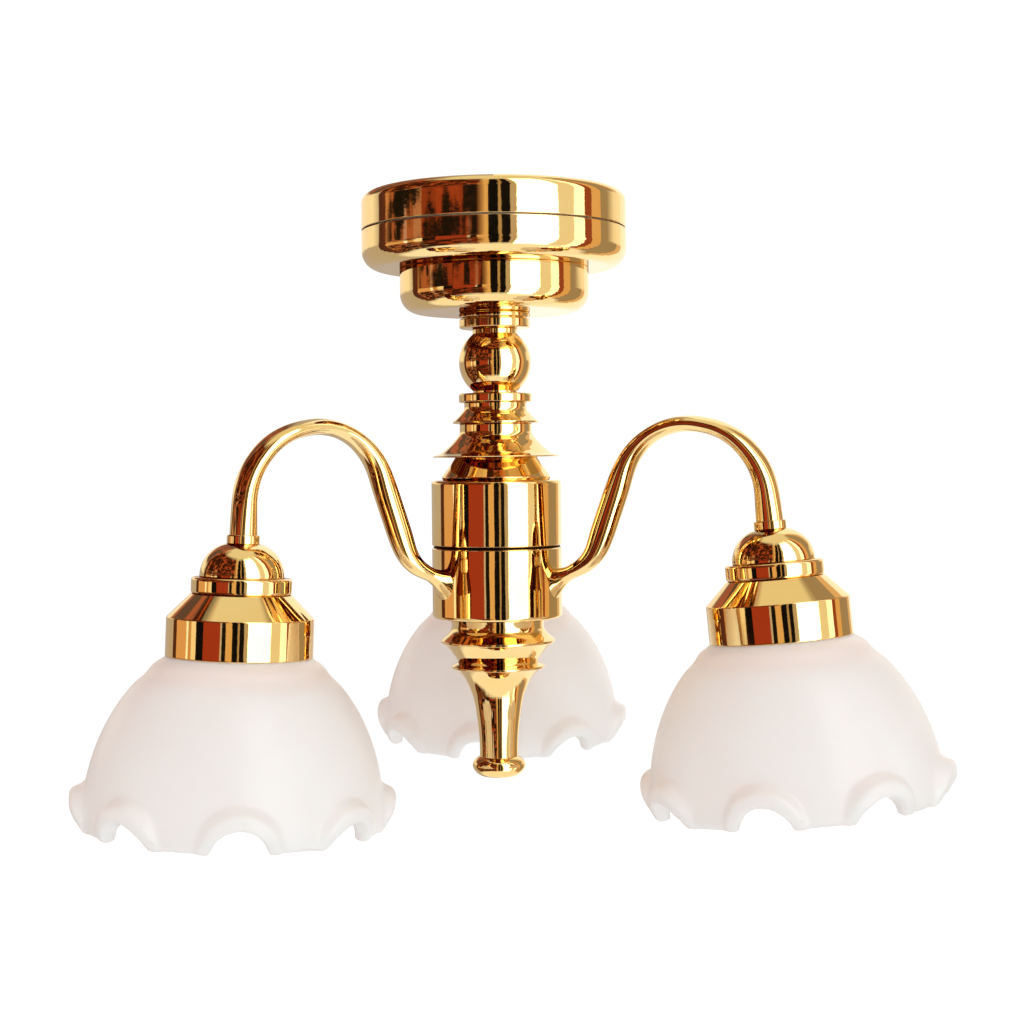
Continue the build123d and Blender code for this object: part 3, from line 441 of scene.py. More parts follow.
base_top = seam - seam_gap / 2
base_outline = [
    (canopy_radius, base_top),
    (canopy_radius, base_bottom, base_round),
    (base_hole, base_bottom),
    (base_hole, base_bottom + canopy_wall),
    (cap_inner, base_bottom + canopy_wall, base_round - canopy_wall),
    (cap_inner, base_top),
]
adopt(turned("canopy_base_shell", base_outline, segments=216), "canopy_base", "gold_plate")

step_outline = [
    (step_radius, base_bottom),
    (step_radius, step_bottom, step_round),
    (tube, step_bottom),
    (tube, step_bottom + canopy_wall),
    (step_radius - canopy_wall, step_bottom + canopy_wall, step_round - canopy_wall),
    (step_radius - canopy_wall, base_bottom),
]
adopt(turned("canopy_step_shell", step_outline, segments=192), "canopy_step", "gold_plate")

ring_bottom, groove_top, groove_bottom, groove_radius = -11.43, -10.54, -10.67, 2.6
ring_radius, ring_round, neck_radius = 2.94, 0.15, 1.85
neck_outline = [
    (tube, step_bottom),
    (ring_radius, step_bottom, ring_round),
    (ring_radius, groove_top),
    (groove_radius, groove_top),
    (groove_radius, groove_bottom),
    (ring_radius, groove_bottom),
    (ring_radius, ring_bottom, ring_round),
    (tube, ring_bottom),
]
adopt(turned("neck_ring_turned", neck_outline), "neck_ring", "gold_plate")

ball_radius, ball_centre, ball_bottom, ball_steps = 3.0, -14.25, -16.85, 40
ball_start = np.arcsin(neck_radius / ball_radius)
ball_stop = pi - ball_start
ball_outline = [(tube, ring_bottom), (neck_radius, ring_bottom)]
for k in range(ball_steps + 1):
    turn = ball_start + (ball_stop - ball_start) * k / ball_steps
    ball_outline.append((ball_radius * sin(turn), ball_centre + ball_radius * cos(turn)))
ball_outline += [(neck_radius, ball_bottom), (tube, ball_bottom)]
adopt(turned("stem_ball_turned", ball_outline), "stem_ball", "gold_plate")

lower_ring_radius, lower_ring_bottom, lower_ring_round = 3.04, -17.58, 0.12
lower_ring_outline = [
    (tube, ball_bottom),
    (lower_ring_radius, ball_bottom, lower_ring_round),
    (lower_ring_radius, lower_ring_bottom, lower_ring_round),
    (tube, lower_ring_bottom),
]
adopt(turned("lower_ring_turned", lower_ring_outline), "lower_ring", "gold_plate")

bell_lip = 0.05
small_neck, small_rim, small_bottom, small_edge = 2.6, 3.58, -19.37, 0.2
small_flare, small_middle = -17.98, (3.05, -18.7)
large_neck, large_rim, large_bottom, large_edge = 3.0, 5.25, -22.17, 0.14
large_flare, large_middles = -20.0, [(3.5, -20.8), (4.1, -21.4), (4.65, -21.82)]
small_knots = [(small_neck, small_flare), small_middle, (small_rim, small_bottom + small_edge)]
small_outline = [
    (tube, lower_ring_bottom),
    (small_neck, lower_ring_bottom),
    *curve_points(small_knots, (0, -1), (1, -0.8)),
    (small_rim - bell_lip, small_bottom + bell_lip),
    (large_neck, small_bottom),
    (tube, small_bottom),
]
adopt(turned("small_bell_turned", small_outline), "small_bell_cap", "gold_plate")

large_knots = [(large_neck, large_flare), *large_middles, (large_rim, large_bottom + large_edge)]
shoulder_top, shoulder_radius, shoulder_low, shoulder_foot, drum_top = 3.4, 4.55, -23.8, 4.42, -24.05
large_outline = [
    (tube, small_bottom),
    (large_neck, small_bottom),
    *curve_points(large_knots, (0, -1), (1, -0.35)),
    (large_rim - bell_lip, large_bottom + bell_lip),
    (shoulder_top, large_bottom),
    (tube, large_bottom),
]
adopt(turned("large_bell_turned", large_outline), "large_bell_cap", "gold_plate")

shoulder_outline = [
    (tube, large_bottom),
    (shoulder_top, large_bottom),
    (shoulder_radius, shoulder_low),
    (shoulder_foot, drum_top),
    (tube, drum_top),
]
adopt(turned("body_shoulder_turned", shoulder_outline), "body_shoulder", "gold_plate")

drum_radius, drum_wall, drum_seam, drum_bottom = 5.4, 0.6, -29.54, -35.45
seam_bevel, seam_round, drum_lift, drum_round = 0.17, 0.04, 0.02, 0.3
drum_inside = drum_radius - drum_wall
upper_outline = [
    (tube, drum_top),
    (drum_radius, drum_top, drum_round),
    (drum_radius, drum_seam + seam_bevel, seam_round),
    (drum_radius - seam_bevel, drum_seam + drum_lift),
    (drum_inside, drum_seam + drum_lift),
    (drum_inside, drum_top - drum_wall),
    (tube, drum_top - drum_wall),
]
seam_floor = [(drum_radius - seam_bevel, drum_seam)]
upper = turned("drum_upper_turned", upper_outline, segments=168, seams=seam_floor)
adopt(upper, "body_drum_upper", "gold_plate")

spigot_radius, spigot_height, spigot_wall = drum_inside - 0.06, 1.0, 0.4
lower_outline = [
    (drum_radius - seam_bevel, drum_seam),
    (drum_radius, drum_seam - seam_bevel, seam_round),
    (drum_radius, drum_bottom, drum_round),
    (tube, drum_bottom),
    (tube, drum_bottom + drum_wall),
    (drum_inside, drum_bottom + drum_wall),
    (drum_inside, drum_seam - drum_wall),
    (spigot_radius - spigot_wall, drum_seam - drum_wall),
    (spigot_radius - spigot_wall, drum_seam + spigot_height),
    (spigot_radius, drum_seam + spigot_height),
    (spigot_radius, drum_seam),
]
lower = turned("drum_lower_turned", lower_outline, segments=168, seams=seam_floor)
adopt(lower, "body_drum_lower", "gold_plate")

# ---------------------------------------------------------------- finial
collar_rim, collar_rim_top, collar_rim_bottom = 4.75, -37.32, -37.47
waist_radius, waist_z, lip_radius, lip_top, lip_bottom = 3.33, -39.2, 3.88, -39.45, -39.6
collar_top_knots = [(3.95, drum_bottom), (3.85, -36.28), (collar_rim, collar_rim_top)]
collar_low_knots = [(collar_rim, collar_rim_bottom), (3.8, -38.4), (waist_radius, waist_z)]
collar_outline = [
    (tube, drum_bottom),
    *curve_points(collar_top_knots, (-0.2, -1), (1, -0.9)),
    *curve_points(collar_low_knots, (-1, -0.7), (-0.2, -1)),
    (tube, waist_z),
]
adopt(turned("finial_collar_turned", collar_outline), "finial_collar", "gold_plate")

tube_bottom, stalk_radius, stalk_end = -41.5, 1.6, -46.7
bun_top, bun_radius, bun_centre, bun_foot, finial_bottom = -47.0, 2.2, -47.7, 1.5, -48.6
stalk_middles = [(2.95, -40.35), (2.25, -41.7), (1.8, -43.9)]
stalk_knots = [(lip_radius, lip_bottom), *stalk_middles, (stalk_radius, stalk_end)]
bun_knots = [(stalk_radius, bun_top), (bun_radius, bun_centre), (bun_foot, finial_bottom)]
finial_outline = [
    (0, tube_bottom),
    (tube, tube_bottom),
    (tube, waist_z),
    (waist_radius, waist_z),
    (lip_radius, lip_top),
    *curve_points(stalk_knots, (-1, -0.6), (0, -1)),
    *curve_points(bun_knots, (1, -0.5), (-1, -0.4)),
    (0, finial_bottom),
]
adopt(turned("finial_turned", finial_outline), "finial", "gold_plate")

# ---------------------------------------------------------------- arms
# Points are (distance from the stem, height); sections are (share of the length, or distance from the
# root for the foot, half width across the arm's plane, half width within it)
arm_root, arm_knee, arm_shoulder, arm_crown = (4.55, -32.59), (8.6, -30.7), (13.0, -18.75), (20.5, -20.25)
arm_descent_z = -23.5
arm_end_distance, arm_end_z, arm_tail = 23.4, -27.35, 0.85
bend_radii = (3.6, 5.9, 5.9, 5.8)
arm_sections = (
    (0.0, 0.80, 0.55),
    (0.075, 0.80, 0.55),
    (0.2, 0.98, 1.02),
    (0.34, 1.08, 1.0),
    (0.5, 1.28, 0.64),
    (0.68, 1.30, 0.65),
    (0.85, 1.15, 0.88),
    (0.95, 1.06, 1.04),
    (1.0, 1.08, 1.08),
)
foot_sections = (
    (0.1, 1.5, 1.5),
    (0.6, 1.3, 1.22),
    (1.05, 1.08, 0.95),
    (1.55, 0.93, 0.72),
    (2.0, 0.85, 0.60),
    (2.4, 0.81, 0.56),
)
arm_stations, arm_sides, foot_stations, bend_steps = 220, 44, 40, 40
line_smoothing, arm_smoothing, foot_smoothing = 7, 12, 5

# The three lamps: name, direction of the arm, lean of the lamp, its extra height, turn of the shade
lamps = (
    ("left", -145.0, 2.8, -0.5, -79.5),
    ("right", -25.0, 5.2, 0.05, -66.6),
    ("rear", 89.4, 4.0, 0.3, -55.6),
)


def smoothed(values, reach):
    """Running average that leaves the two ends where they are."""
    values = np.asarray(values, float)
    kernel = np.hanning(2 * reach + 1)
    kernel /= kernel.sum()
    before = 2 * values[:1] - values[reach:0:-1]
    after = 2 * values[-1:] - values[-2 : -reach - 2 : -1]
    padded = np.concatenate([before, values, after])
    if padded.ndim == 1:
        return np.convolve(padded, kernel, "valid")
    return np.stack([np.convolve(padded[:, c], kernel, "valid") for c in range(padded.shape[1])], 1)


def arm_line(lean, rise):
    """Centre line of an arm in its upright plane: even (distance from the stem, height) points."""
    end_z = arm_end_z + rise
    descent = (arm_end_distance - (arm_descent_z - end_z) * tan(radians(lean)), arm_descent_z)
    tail = (arm_end_distance + arm_tail * sin(radians(lean)), end_z - arm_tail * cos(radians(lean)))
    corners = np.array((arm_root, arm_knee, arm_shoulder, arm_crown, descent, tail), float)
    line = [corners[0]]
    for k, radius in enumerate(bend_radii, 1):
        line += arc_points(*corners[k - 1 : k + 2], radius, bend_steps, 1.0)
    line = np.array(line + [corners[-1]])
    along = np.concatenate([[0], np.cumsum(np.linalg.norm(np.diff(line, axis=0), axis=1))])
    even = np.linspace(0, along[-1], arm_stations)
    return smoothed(np.stack([np.interp(even, along, line[:, c]) for c in (0, 1)], 1), line_smoothing)


def skin_arm(name, direction, line, across, within):
    """A bent rod in an arm's upright plane, with a half width across and in the plane at every point."""
    way = np.gradient(line, axis=0)
    way /= np.linalg.norm(way, axis=1)[:, None]
    outward = np.array((cos(radians(direction)), sin(radians(direction)), 0))
    side = np.array((sin(radians(direction)), -cos(radians(direction)), 0))
    rise_axis = np.array((0, 0, 1.0))
    angles = np.arange(arm_sides) * 2 * pi / arm_sides
    coords = []
    for at, heading, wide, deep in zip(line, way, across, within):
        centre = outward * at[0] + rise_axis * at[1]
        normal = -outward * heading[1] + rise_axis * heading[0]
        ring = np.outer(np.cos(angles) * wide, side) + np.outer(np.sin(angles) * deep, normal)
        coords.append(centre + ring)
    faces = grid_faces(len(coords), arm_sides, False) + end_faces(len(coords), arm_sides)
    ends = [coords[0].mean(0), coords[-1].mean(0)]
    coords = np.vstack([np.concatenate(coords), ends])
    return place_mesh(name, coords, faces, None, np.zeros(len(coords)))


def widths(table, at, reach):
    """Half widths across and within the arm's plane, read from a table of sections and smoothed."""
    table = np.array(table)
    return [smoothed(np.interp(at, table[:, 0], table[:, column]), reach) for column in (1, 2)]


def make_arm(name, direction, lean, rise):
    """The bent arm and the flared foot that is soldered to the drum."""
    across, within = widths(arm_sections, np.linspace(0, 1, arm_stations), arm_smoothing)
    piece = skin_arm(f"{name}_arm_bent", direction, arm_line(lean, rise), across, within)
    adopt(piece, f"{name}_arm", "gold_plate")
    root = np.array(arm_root)
    run = np.array(arm_knee) - root
    run /= np.linalg.norm(run)
    reach = np.linspace(foot_sections[0][0], foot_sections[-1][0], foot_stations)
    across, within = widths(foot_sections, reach, foot_smoothing)
    foot = skin_arm(f"{name}_arm_foot_flared", direction, root + reach[:, None] * run, across, within)
    adopt(foot, f"{name}_arm_foot", "gold_plate")


# ---------------------------------------------------------------- shades
# One frosted shade is worked out as a field of distances and skinned; all three lamps use it.
shade_wall = 1.0
bowl_half_width, bowl_half_height, bowl_centre = 11.25, 13.7, -12.0
bowl_top, bowl_foot = -0.1, -9.6
flare_line = [(11.16, -10.3), (11.3, -11.0), (11.36, -11.7)]
flare_line += [(11.26, -12.4), (11.05, -13.0), (10.8, -13.6)]
neck_outer, neck_top = 5.0, 1.55
# A faint ring below the collar and the crease under it: swell, height, spread
neck_rings = ((0.13, -0.55, 0.4), (-0.11, -1.4, 0.45))
rim_depth, rim_round, neck_round, arch_count = 12.75, 0.45, 0.3, 8
arch_radius, arch_centre = 2.04, -13.1
lip_thick, lip_foot_thick, lip_taper = 1.6, 0.72, 0.42
lip_root, lip_reach, lip_drop, lip_inside = 11.2, 12.15, 1.6, 10.55
lip_round, lip_back_round, lip_foot_round, lip_join = 0.34, 0.3, 0.4, 0.42
lip_hang, arch_round, no_arch = 0.02, 0.28, -9.0
shade_cell, slope_step, settle_rounds = 0.19, 0.02, 6


def soft_min(a, b, k):
    """The smaller of two distances, with their meeting line rounded over a width of about k."""
    blend = np.clip(0.5 + 0.5 * (b - a) / k, 0, 1)
    return b + (a - b) * blend - k * blend * (1 - blend)


def soft_max(a, b, k):
    return -soft_min(-a, -b, k)


def shade_profile():
    """The outer line of the shade from its neck to below the rim, as (radius, height) points."""
    line = [(neck_outer, neck_top + 1.0), (neck_outer, 0.75), (neck_outer + 0.12, 0.35)]
    for height in np.linspace(bowl_top, bowl_foot, 60):
        share = (height - bowl_centre) / bowl_half_height
        line.append((bowl_half_width * sqrt(1 - share**2), height))
    line = smoothed(np.array(line + flare_line), 2)
    for swell, height, spread in neck_rings:
        line[:, 0] += swell * np.exp(-(((line[:, 1] - height) / spread) ** 2))
    return line


shade_line = shade_profile()


def profile_distance(radius, height):
    """Signed distance from points to the shade's outer line, positive outside."""
    best = np.full(radius.shape, 1e9)
    signed = np.zeros(radius.shape)
    for a, b in zip(shade_line, shade_line[1:]):
        run = b - a
        length = run @ run
        t = np.clip(((radius - a[0]) * run[0] + (height - a[1]) * run[1]) / length, 0, 1)
        dr, dz = radius - a[0] - t * run[0], height - a[1] - t * run[1]
        distance = dr * dr + dz * dz
        side = run[0] * (height - a[1]) - run[1] * (radius - a[0])
        closer = distance < best
        best = np.where(closer, distance, best)
        signed = np.where(closer, np.sign(side), signed)
    return np.sqrt(best) * signed


table_step, table_reach, table_low, table_high = 0.05, 14, -15.5, 3
table_radii = np.arange(0, table_reach, table_step)
table_heights = np.arange(table_low, table_high, table_step)
profile_table = profile_distance(*np.meshgrid(table_radii, table_heights, indexing="ij"))


def shade_field(x, y, z):
    """Signed distance to the shade's glass, negative inside the glass."""
    radius = np.hypot(x, y)
    i = np.clip(radius / table_step, 0, len(table_radii) - 1.001)
    j = np.clip((z - table_heights[0]) / table_step, 0, len(table_heights) - 1.001)
    i0, j0 = i.astype(int), j.astype(int)
    u, v = i - i0, j - j0
    outer = (
        profile_table[i0, j0] * (1 - u) * (1 - v)
        + profile_table[i0 + 1, j0] * u * (1 - v)
        + profile_table[i0, j0 + 1] * (1 - u) * v
        + profile_table[i0 + 1, j0 + 1] * u * v
    )
    shell = np.abs(outer + shade_wall / 2) - shade_wall / 2
    # Fold every arch onto one, facing +x
    pitch = 2 * pi / arch_count
    angle = np.arctan2(y, x)
    folded = angle - pitch * np.round(angle / pitch)
    out, side = radius * np.cos(folded), radius * np.sin(folded)
    around = np.hypot(side, z - arch_centre)
    shell = soft_max(shell, -z - rim_depth, rim_round)
    shell = soft_max(shell, z - neck_top, neck_round)
    # The lip over an arch: a half tunnel that stands out most at its top
    top = np.clip((z - arch_centre) / np.maximum(around, 0.1), 0, 1)
    front = lip_reach - lip_drop * (1 - top) ** 1.5
    crown = lip_thick - lip_taper * np.clip((out - lip_root) / (lip_reach - lip_root), 0, 1)
    thick = lip_foot_thick + (crown - lip_foot_thick) * top
    tunnel = np.abs(around - arch_radius - thick / 2) - thick / 2
    tunnel = soft_max(tunnel, out - front, lip_round)
    tunnel = soft_max(tunnel, lip_inside - out, lip_back_round)
    tunnel = soft_max(tunnel, -z - rim_depth - lip_hang, lip_foot_round)
    glass = soft_min(shell, tunnel, lip_join)
    opening = np.where(out > 0, arch_radius - around, no_arch)
    return soft_max(glass, opening, arch_round)


def skin_field(field, low, high, cell):
    """Surface net of a field: one point in every cell the surface crosses, drawn onto the surface."""
    axes = [np.arange(a, b + cell, cell) for a, b in zip(low, high)]
    grid = np.meshgrid(*axes, indexing="ij")
    values = field(*grid)
    inside = values < 0
    counts = sum(
        inside[i : i - 1 or None, j : j - 1 or None, k : k - 1 or None].astype(np.int8)
        for i in (0, 1) for j in (0, 1) for k in (0, 1)
    )
    active = (counts > 0) & (counts < 8)
    cells = np.argwhere(active)
    index = np.full(active.shape, -1)
    index[active] = np.arange(len(cells))
    points = (cells + 0.5) * cell + np.array(low)
    for _ in range(settle_rounds):
        here = field(*points.T)
        slope = []
        for axis in range(3):
            shift = np.zeros(3)
            shift[axis] = slope_step
            slope.append((field(*(points + shift).T) - field(*(points - shift).T)) / (2 * slope_step))
        slope = np.array(slope).T
        size = np.maximum((slope**2).sum(1), 0.15)
        move = np.clip(here / size, -0.6 * cell, 0.6 * cell)
        points = points - slope * move[:, None]
    faces = []
    for axis in range(3):
        one, two = [a for a in range(3) if a != axis]
        start = [slice(1, None)] * 3
        start[axis] = slice(0, -1)
        stop = list(start)
        stop[axis] = slice(1, None)
        crossing = inside[tuple(start)] != inside[tuple(stop)]
        where = np.argwhere(crossing)
        where[:, one] += 1
        where[:, two] += 1
        keep = (where[:, one] < active.shape[one]) & (where[:, two] < active.shape[two])
        where = where[keep]
        corners = []
        for a, b in ((1, 1), (0, 1), (0, 0), (1, 0)):
            cell_at = where.copy()
            cell_at[:, one] -= a
            cell_at[:, two] -= b
            corners.append(index[tuple(cell_at.T)])
        faces.append(np.stack(corners, 1))
    return points, np.concatenate(faces).tolist()


shade_reach = 12.7
shade_low, shade_high = (-shade_reach, -shade_reach, -13.4), (shade_reach, shade_reach, 2.1)
shade_points, shade_faces = skin_field(shade_field, shade_low, shade_high, shade_cell)

# The glass is painted rosier just under the collar, where it thickens: partly the thicker glass, partly a
# painted reflection of the brass gallery with painted shade under it. Along the rim's fire-polished edges
# the rosier colour is painted shade
neck_height, neck_spread, rim_height, rim_spread = -0.9, 0.8, -12.9, 0.5
shade_heights = shade_points[:, 2]
neck_painted_reflection = 0.6 * np.exp(-(((shade_heights - neck_height) / neck_spread) ** 2))
rim_painted_shade = 0.45 * np.clip((rim_height + rim_spread - shade_heights) / rim_spread, 0, 1)
shade_painted_light = np.maximum(neck_painted_reflection, rim_painted_shade)

# ---------------------------------------------------------------- lamp heads
# Heights from here on are measured down the lamp's own axis, from the end of its arm
gallery_bottom, arm_end_radius = -9.2, 1.08
ferrule_radius, ferrule_bottom, ferrule_round = 1.25, -0.7, 0.16
ferrule_outline = [
    (arm_end_radius, 0),
    (ferrule_radius, 0, ferrule_round),
    (ferrule_radius, ferrule_bottom, ferrule_round),
    (arm_end_radius, ferrule_bottom),
]
dome_bottom, dome_radius, dome_top, head_wall = -3.2, 3.2, 1.4, 0.4
dome_middle, dome_inner_middle, dome_inner_top = (2.75, -1.68), (2.42, -1.95), -1.1


def arc_through(start, middle, stop, steps=24):
    """Points of the circle through three points, from start to stop."""
    a, b, c = (complex(*p) for p in (start, middle, stop))
    w = (c - a) / (b - a)
    centre = a + (b - a) * (w - abs(w) ** 2) / (2j * w.imag)
    reach = abs(a - centre)
    begin, end = np.angle(a - centre), np.angle(c - centre)
    sweep = (end - begin + pi) % (2 * pi) - pi
    angles = [begin + sweep * k / steps for k in range(steps + 1)]
    return [(centre.real + reach * cos(angle), centre.imag + reach * sin(angle)) for angle in angles]


dome_outline = [
    (arm_end_radius, ferrule_bottom),
    *arc_through((dome_top, ferrule_bottom), dome_middle, (dome_radius, dome_bottom)),
    *arc_through(
        (dome_radius - head_wall, dome_bottom), dome_inner_middle, (arm_end_radius, dome_inner_top)
    ),
]
socket_radius, socket_bottom, socket_round = 3.8, -4.48, 0.25
socket_outline = [
    (dome_radius - head_wall, dome_bottom),
    (socket_radius, dome_bottom, socket_round),
    (socket_radius, socket_bottom, socket_round),
    (dome_radius - head_wall, socket_bottom),
]
gallery_radius, gallery_hole, gallery_shoulder, gallery_round = 5.55, 2.6, -6.25, 0.12
gallery_outline = [
    (gallery_hole, socket_bottom),
    (socket_radius, socket_bottom),
    (gallery_radius, gallery_shoulder, gallery_round),
    (gallery_radius, gallery_bottom, gallery_round),
    (gallery_radius - head_wall, gallery_bottom, gallery_round),
    (gallery_radius - head_wall, gallery_shoulder - 0.2),
    (socket_radius - 0.2, socket_bottom - head_wall),
    (gallery_hole, socket_bottom - head_wall),
]
led_tip, led_radius, led_flange, led_top, led_steps = -11.2, 1.5, 1.9, -6.2, 12
holder_radius, holder_top, holder_bottom = 4.8, -6.6, -7.4
holder_outline = [
    (led_radius, holder_top),
    (holder_radius, holder_top),
    (holder_radius, holder_bottom),
    (led_radius, holder_bottom),
]
led_outline = [(0, led_top), (led_flange, led_top), (led_flange, holder_top), (led_radius, holder_top)]
for k in range(led_steps):
    turn = pi / 2 * k / led_steps
    led_outline.append((led_radius * cos(turn), led_tip + led_radius - led_radius * sin(turn)))
led_outline.append((0, led_tip))


def head_frame(direction, lean, rise):
    """Where a lamp head sits: its origin is the end of the arm, its z runs up the lamp's own axis.

    Gives the matrix and its x and y directions."""
    along = Vector((cos(radians(direction)), sin(radians(direction)), 0))
    origin = along * arm_end_distance + Vector((0, 0, arm_end_z + rise))
    axis = Vector((0, 0, cos(radians(lean)))) - along * sin(radians(lean))
    first = (along - axis * along.dot(axis)).normalized()
    second = axis.cross(first)
    turn = Matrix((first, second, axis)).transposed().to_4x4()
    return Matrix.Translation(origin * MM) @ turn, first, second


for name, direction, lean, rise, turn in lamps:
    make_arm(name, direction, lean, rise)
    head, first, second = head_frame(direction, lean, rise)
    adopt(turned(f"{name}_ferrule_turned", ferrule_outline, head, 96), f"{name}_ferrule", "gold_plate")
    adopt(turned(f"{name}_dome_spun", dome_outline, head), f"{name}_socket_dome", "gold_plate")
    adopt(turned(f"{name}_socket_ring_turned", socket_outline, head), f"{name}_socket_ring", "gold_plate")
    gallery = turned(f"{name}_gallery_spun", gallery_outline, head, 168)
    adopt(gallery, f"{name}_shade_gallery", "gold_plate")
    adopt(turned(f"{name}_led_holder_disc", holder_outline, head, 96), f"{name}_led_holder", "raw_brass")
    adopt(turned(f"{name}_led_lens", led_outline, head, 64), f"{name}_led", "led_epoxy")
    facing = Vector((cos(radians(turn)), sin(radians(turn)), 0))
    swing = np.arctan2(facing.dot(second), facing.dot(first))
    drop = Matrix.Translation((0, 0, gallery_bottom * MM)) @ Matrix.Rotation(float(swing), 4, "Z")
    shade = place_mesh(f"{name}_shade_glass", shade_points, shade_faces, head @ drop, shade_painted_light)
    adopt(shade, f"{name}_shade", "frosted_glass")

# ---------------------------------------------------------------- CAD parts that stay
kept = {
    "cap_magnets": "nickel_plate",
    "tray_magnets": "nickel_plate",
    "cell_insulator": "clear_film",
    "battery_tray": "white_plastic",
    "coin_cell": "cell_steel",
    "positive_contact": "nickel_plate",
    "negative_contact": "nickel_plate",
    "switch_body": "black_plastic",
    "switch_lever": "white_plastic",
    "switch_pins": "nickel_plate",
    "resistor": "resistor_body",
    "tray_jumpers": "red_wire",
    "center_tube": "raw_brass",
    "tube_nut": "raw_brass",
    "junction_board": "board_laminate",
    "positive_stem_lead": "red_wire",
    "negative_stem_lead": "black_wire",
}
kept.update({f"{lamp[0]}_arm_leads": "enamel_wire" for lamp in lamps})
for node, slot in kept.items():
    materials = nodes[node].data.materials
    for k in range(len(materials)):
        materials[k] = finishes[slot]

# ---------------------------------------------------------------- floor
# The height and radius are in metres
floor_height, floor_radius, floor_sides = -0.25, 1.0, 96
floor_mesh = bpy.data.meshes.new("floor")
floor_points = []
for k in range(floor_sides):
    turn = 2 * pi * k / floor_sides
    floor_points.append((floor_radius * cos(turn), floor_radius * sin(turn), floor_height))
floor_mesh.from_pydata(floor_points, [], [list(range(floor_sides))])
floor = bpy.data.objects.new("floor", floor_mesh)
scene.collection.objects.link(floor)
floor_finish, floor_graph, floor_shader, floor_where = new_material("floor_paper")
fibres = floor_graph.noise(floor_where, 60, 3)
paper = floor_graph.mix(fibres, (0.97, 0.97, 0.97), (0.94, 0.94, 0.94))
set_shader(floor_graph, floor_shader, Base_Color=paper)
floor_shader.inputs["Roughness"].default_value = 0.9
floor_shader.inputs["Emission Color"].default_value = (1, 1, 1, 1)
floor_shader.inputs["Emission Strength"].default_value = 0.7
floor_mesh.materials.append(floor_finish)
floor.visible_glossy = False
floor.visible_diffuse = False
floor.visible_transmission = False

# ---------------------------------------------------------------- studio light
# The room that polished metal shows, by compass direction in degrees from the front, positive to the
# right. Each colour fills the room up to the next direction
room_bands = (
    (-180, (0.50, 0.44, 0.40)),
    (-118, (0.09, 0.03, 0.02)),
    (-106, (0.72, 0.40, 0.19)),
    (-84, (1.20, 1.15, 1.05)),
    (-80, (0.60, 0.34, 0.14)),
    (-72, (0.95, 0.80, 0.55)),
    (-64, (0.006, 0.005, 0.005)),
    (-51, (0.34, 0.045, 0.018)),
    (-23, (0.55, 0.45, 0.38)),
    (-20, (0.01, 0.008, 0.006)),
    (-15, (0.74, 0.45, 0.20)),
    (-5, (0.006, 0.005, 0.005)),
    (3, (0.45, 0.30, 0.16)),
    (6, (0.008, 0.006, 0.006)),
    (14, (0.50, 0.40, 0.30)),
    (19, (3.2, 3.2, 3.2)),
    (56, (0.85, 0.78, 0.62)),
    (73, (1.6, 1.6, 1.5)),
    (83, (0.30, 0.07, 0.03)),
    (92, (0.75, 0.45, 0.20)),
    (103, (0.36, 0.28, 0.20)),
    (132, (0.75, 0.50, 0.28)),
    (142, (1.10, 1.08, 1.02)),
)
world = bpy.data.worlds.new("studio")
scene.world = world
world.use_nodes = True
sky = Graph(world.node_tree)
heading = sky.add("ShaderNodeTexCoord").outputs["Generated"]
parts = sky.add("ShaderNodeSeparateXYZ", {0: heading}).outputs
compass = sky.math("ARCTAN2", parts[0], sky.math("MULTIPLY", parts[1], -1.0))
slow = sky.math("SUBTRACT", sky.noise(heading, 5, 2), 0.5)
quick = sky.math("SUBTRACT", sky.noise(heading, 34, 2), 0.5)
drift = sky.math("ADD", sky.math("MULTIPLY", slow, 0.012), sky.math("MULTIPLY", quick, 0.006))
around = sky.math("ADD", sky.math("ADD", sky.math("DIVIDE", compass, 2 * pi), 0.5), drift)
bands = sky.ramp(around, [((angle + 180) / 360, colour) for angle, colour in room_bands], "CONSTANT")
climb = sky.math("ADD", parts[2], sky.math("MULTIPLY", slow, 0.12))
above = sky.span(climb, 0.86, 0.93)
below = sky.span(climb, -0.74, -0.66, 1.0, 0.0)
# Dark furniture and red hangings to the left of the camera, broken up like a real room
pulled = {axis: sky.math("MULTIPLY", parts[axis], pull) for axis, pull in enumerate((3.5, 3.5, 42))}
stretched = sky.add("ShaderNodeCombineXYZ", pulled).outputs[0]
near_clutter = sky.noise(stretched, 1.0, 4, 0.6)
high_clutter = sky.noise(heading, 6, 4, 0.65)
upward = sky.span(climb, 0.2, 0.28)
chosen = sky.add("ShaderNodeMix", {0: upward, 2: near_clutter, 3: high_clutter}).outputs[0]
clutter = sky.span(chosen, 0.45, 0.49)
leftward = sky.math("MULTIPLY", sky.span(parts[0], -0.12, -0.26), sky.span(parts[1], 0.35, 0.15))
away = sky.math("MAXIMUM", sky.span(climb, 0.04, 0.09), sky.span(climb, -0.12, -0.18))
hanging = sky.math("MULTIPLY", leftward, away)
bands = sky.mix(sky.math("MULTIPLY", hanging, 0.8), bands, (0.34, 0.06, 0.02))
bands = sky.mix(sky.math("MULTIPLY", hanging, clutter), bands, (0.012, 0.008, 0.006))
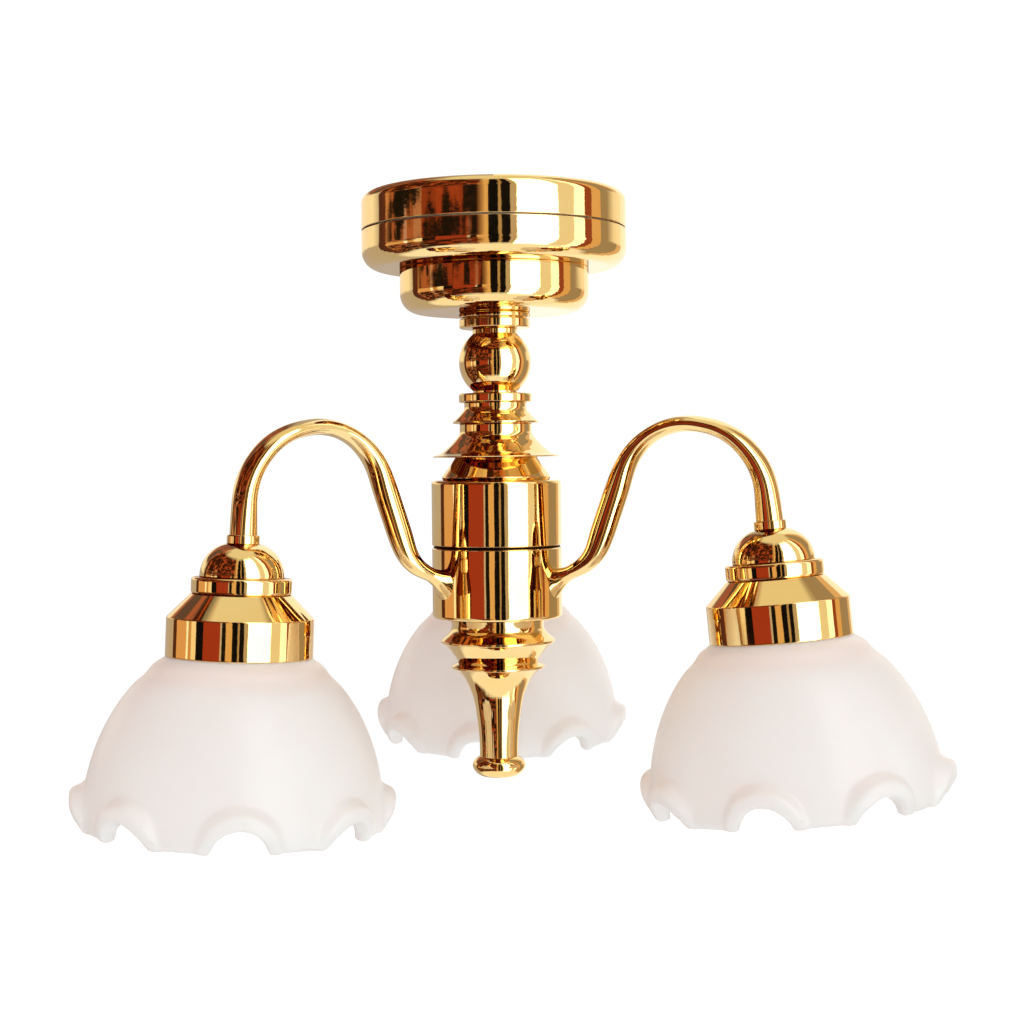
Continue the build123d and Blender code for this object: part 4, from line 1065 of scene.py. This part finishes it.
valance = sky.math("MULTIPLY", sky.span(parts[0], -0.12, -0.24), sky.span(climb, 0.26, 0.36))
cloth = sky.mix(clutter, (0.38, 0.07, 0.02), (0.05, 0.012, 0.006))
bands = sky.mix(sky.math("MULTIPLY", valance, 0.85), bands, cloth)
# A pale wall behind the lamp, seen at the rims of the canopy
behind = sky.math("MULTIPLY", sky.span(parts[1], 0.42, 0.6), sky.span(climb, 0.04, 0.1))
behind = sky.math("MULTIPLY", behind, sky.span(climb, 0.34, 0.26))
bands = sky.mix(sky.math("MULTIPLY", behind, 0.75), bands, (1.15, 1.05, 0.85))
room = sky.mix(above, bands, (0.80, 0.74, 0.56))
room = sky.mix(below, room, (1.0, 0.98, 0.95))
path = sky.add("ShaderNodeLightPath").outputs
# Between the turned beads the metal mirrors itself, and the room is seen darker and redder
again = sky.math("GREATER_THAN", path["Glossy Depth"], 1.5)
inner_shade = sky.mix(clutter, (0.50, 0.17, 0.08), (0.04, 0.015, 0.01))
inner_room = sky.mix(1.0, room, inner_shade, "MULTIPLY")
room = sky.mix(sky.math("MULTIPLY", again, sky.span(parts[0], 0.5, 0.15)), room, inner_room)
# Matt and frosted surfaces see plain studio light, whiter and stronger from the lower right front
brightest = {0: heading, 1: (0.5, -0.7, -0.5)}
aim = sky.add("ShaderNodeVectorMath", brightest, operation="DOT_PRODUCT").outputs["Value"]
soft = sky.mix(sky.span(aim, -1, 1), (0.66, 0.47, 0.39), (1.15, 1.19, 1.18))
studio = sky.add("ShaderNodeBackground", {"Color": soft, "Strength": 1.0})
surround = sky.add("ShaderNodeBackground", {"Color": room, "Strength": 1.0})
backdrop = sky.add("ShaderNodeBackground", {"Color": (1, 1, 1), "Strength": 1.05})


def choose(ray, other, chosen):
    """One background for a kind of ray and another for all other rays."""
    values = {0: path[ray], 1: other.outputs[0], 2: chosen.outputs[0]}
    return sky.add("ShaderNodeMixShader", values)


blend = choose("Is Camera Ray", choose("Is Glossy Ray", studio, surround), backdrop)
sky.add("ShaderNodeOutputWorld", {"Surface": blend.outputs[0]})
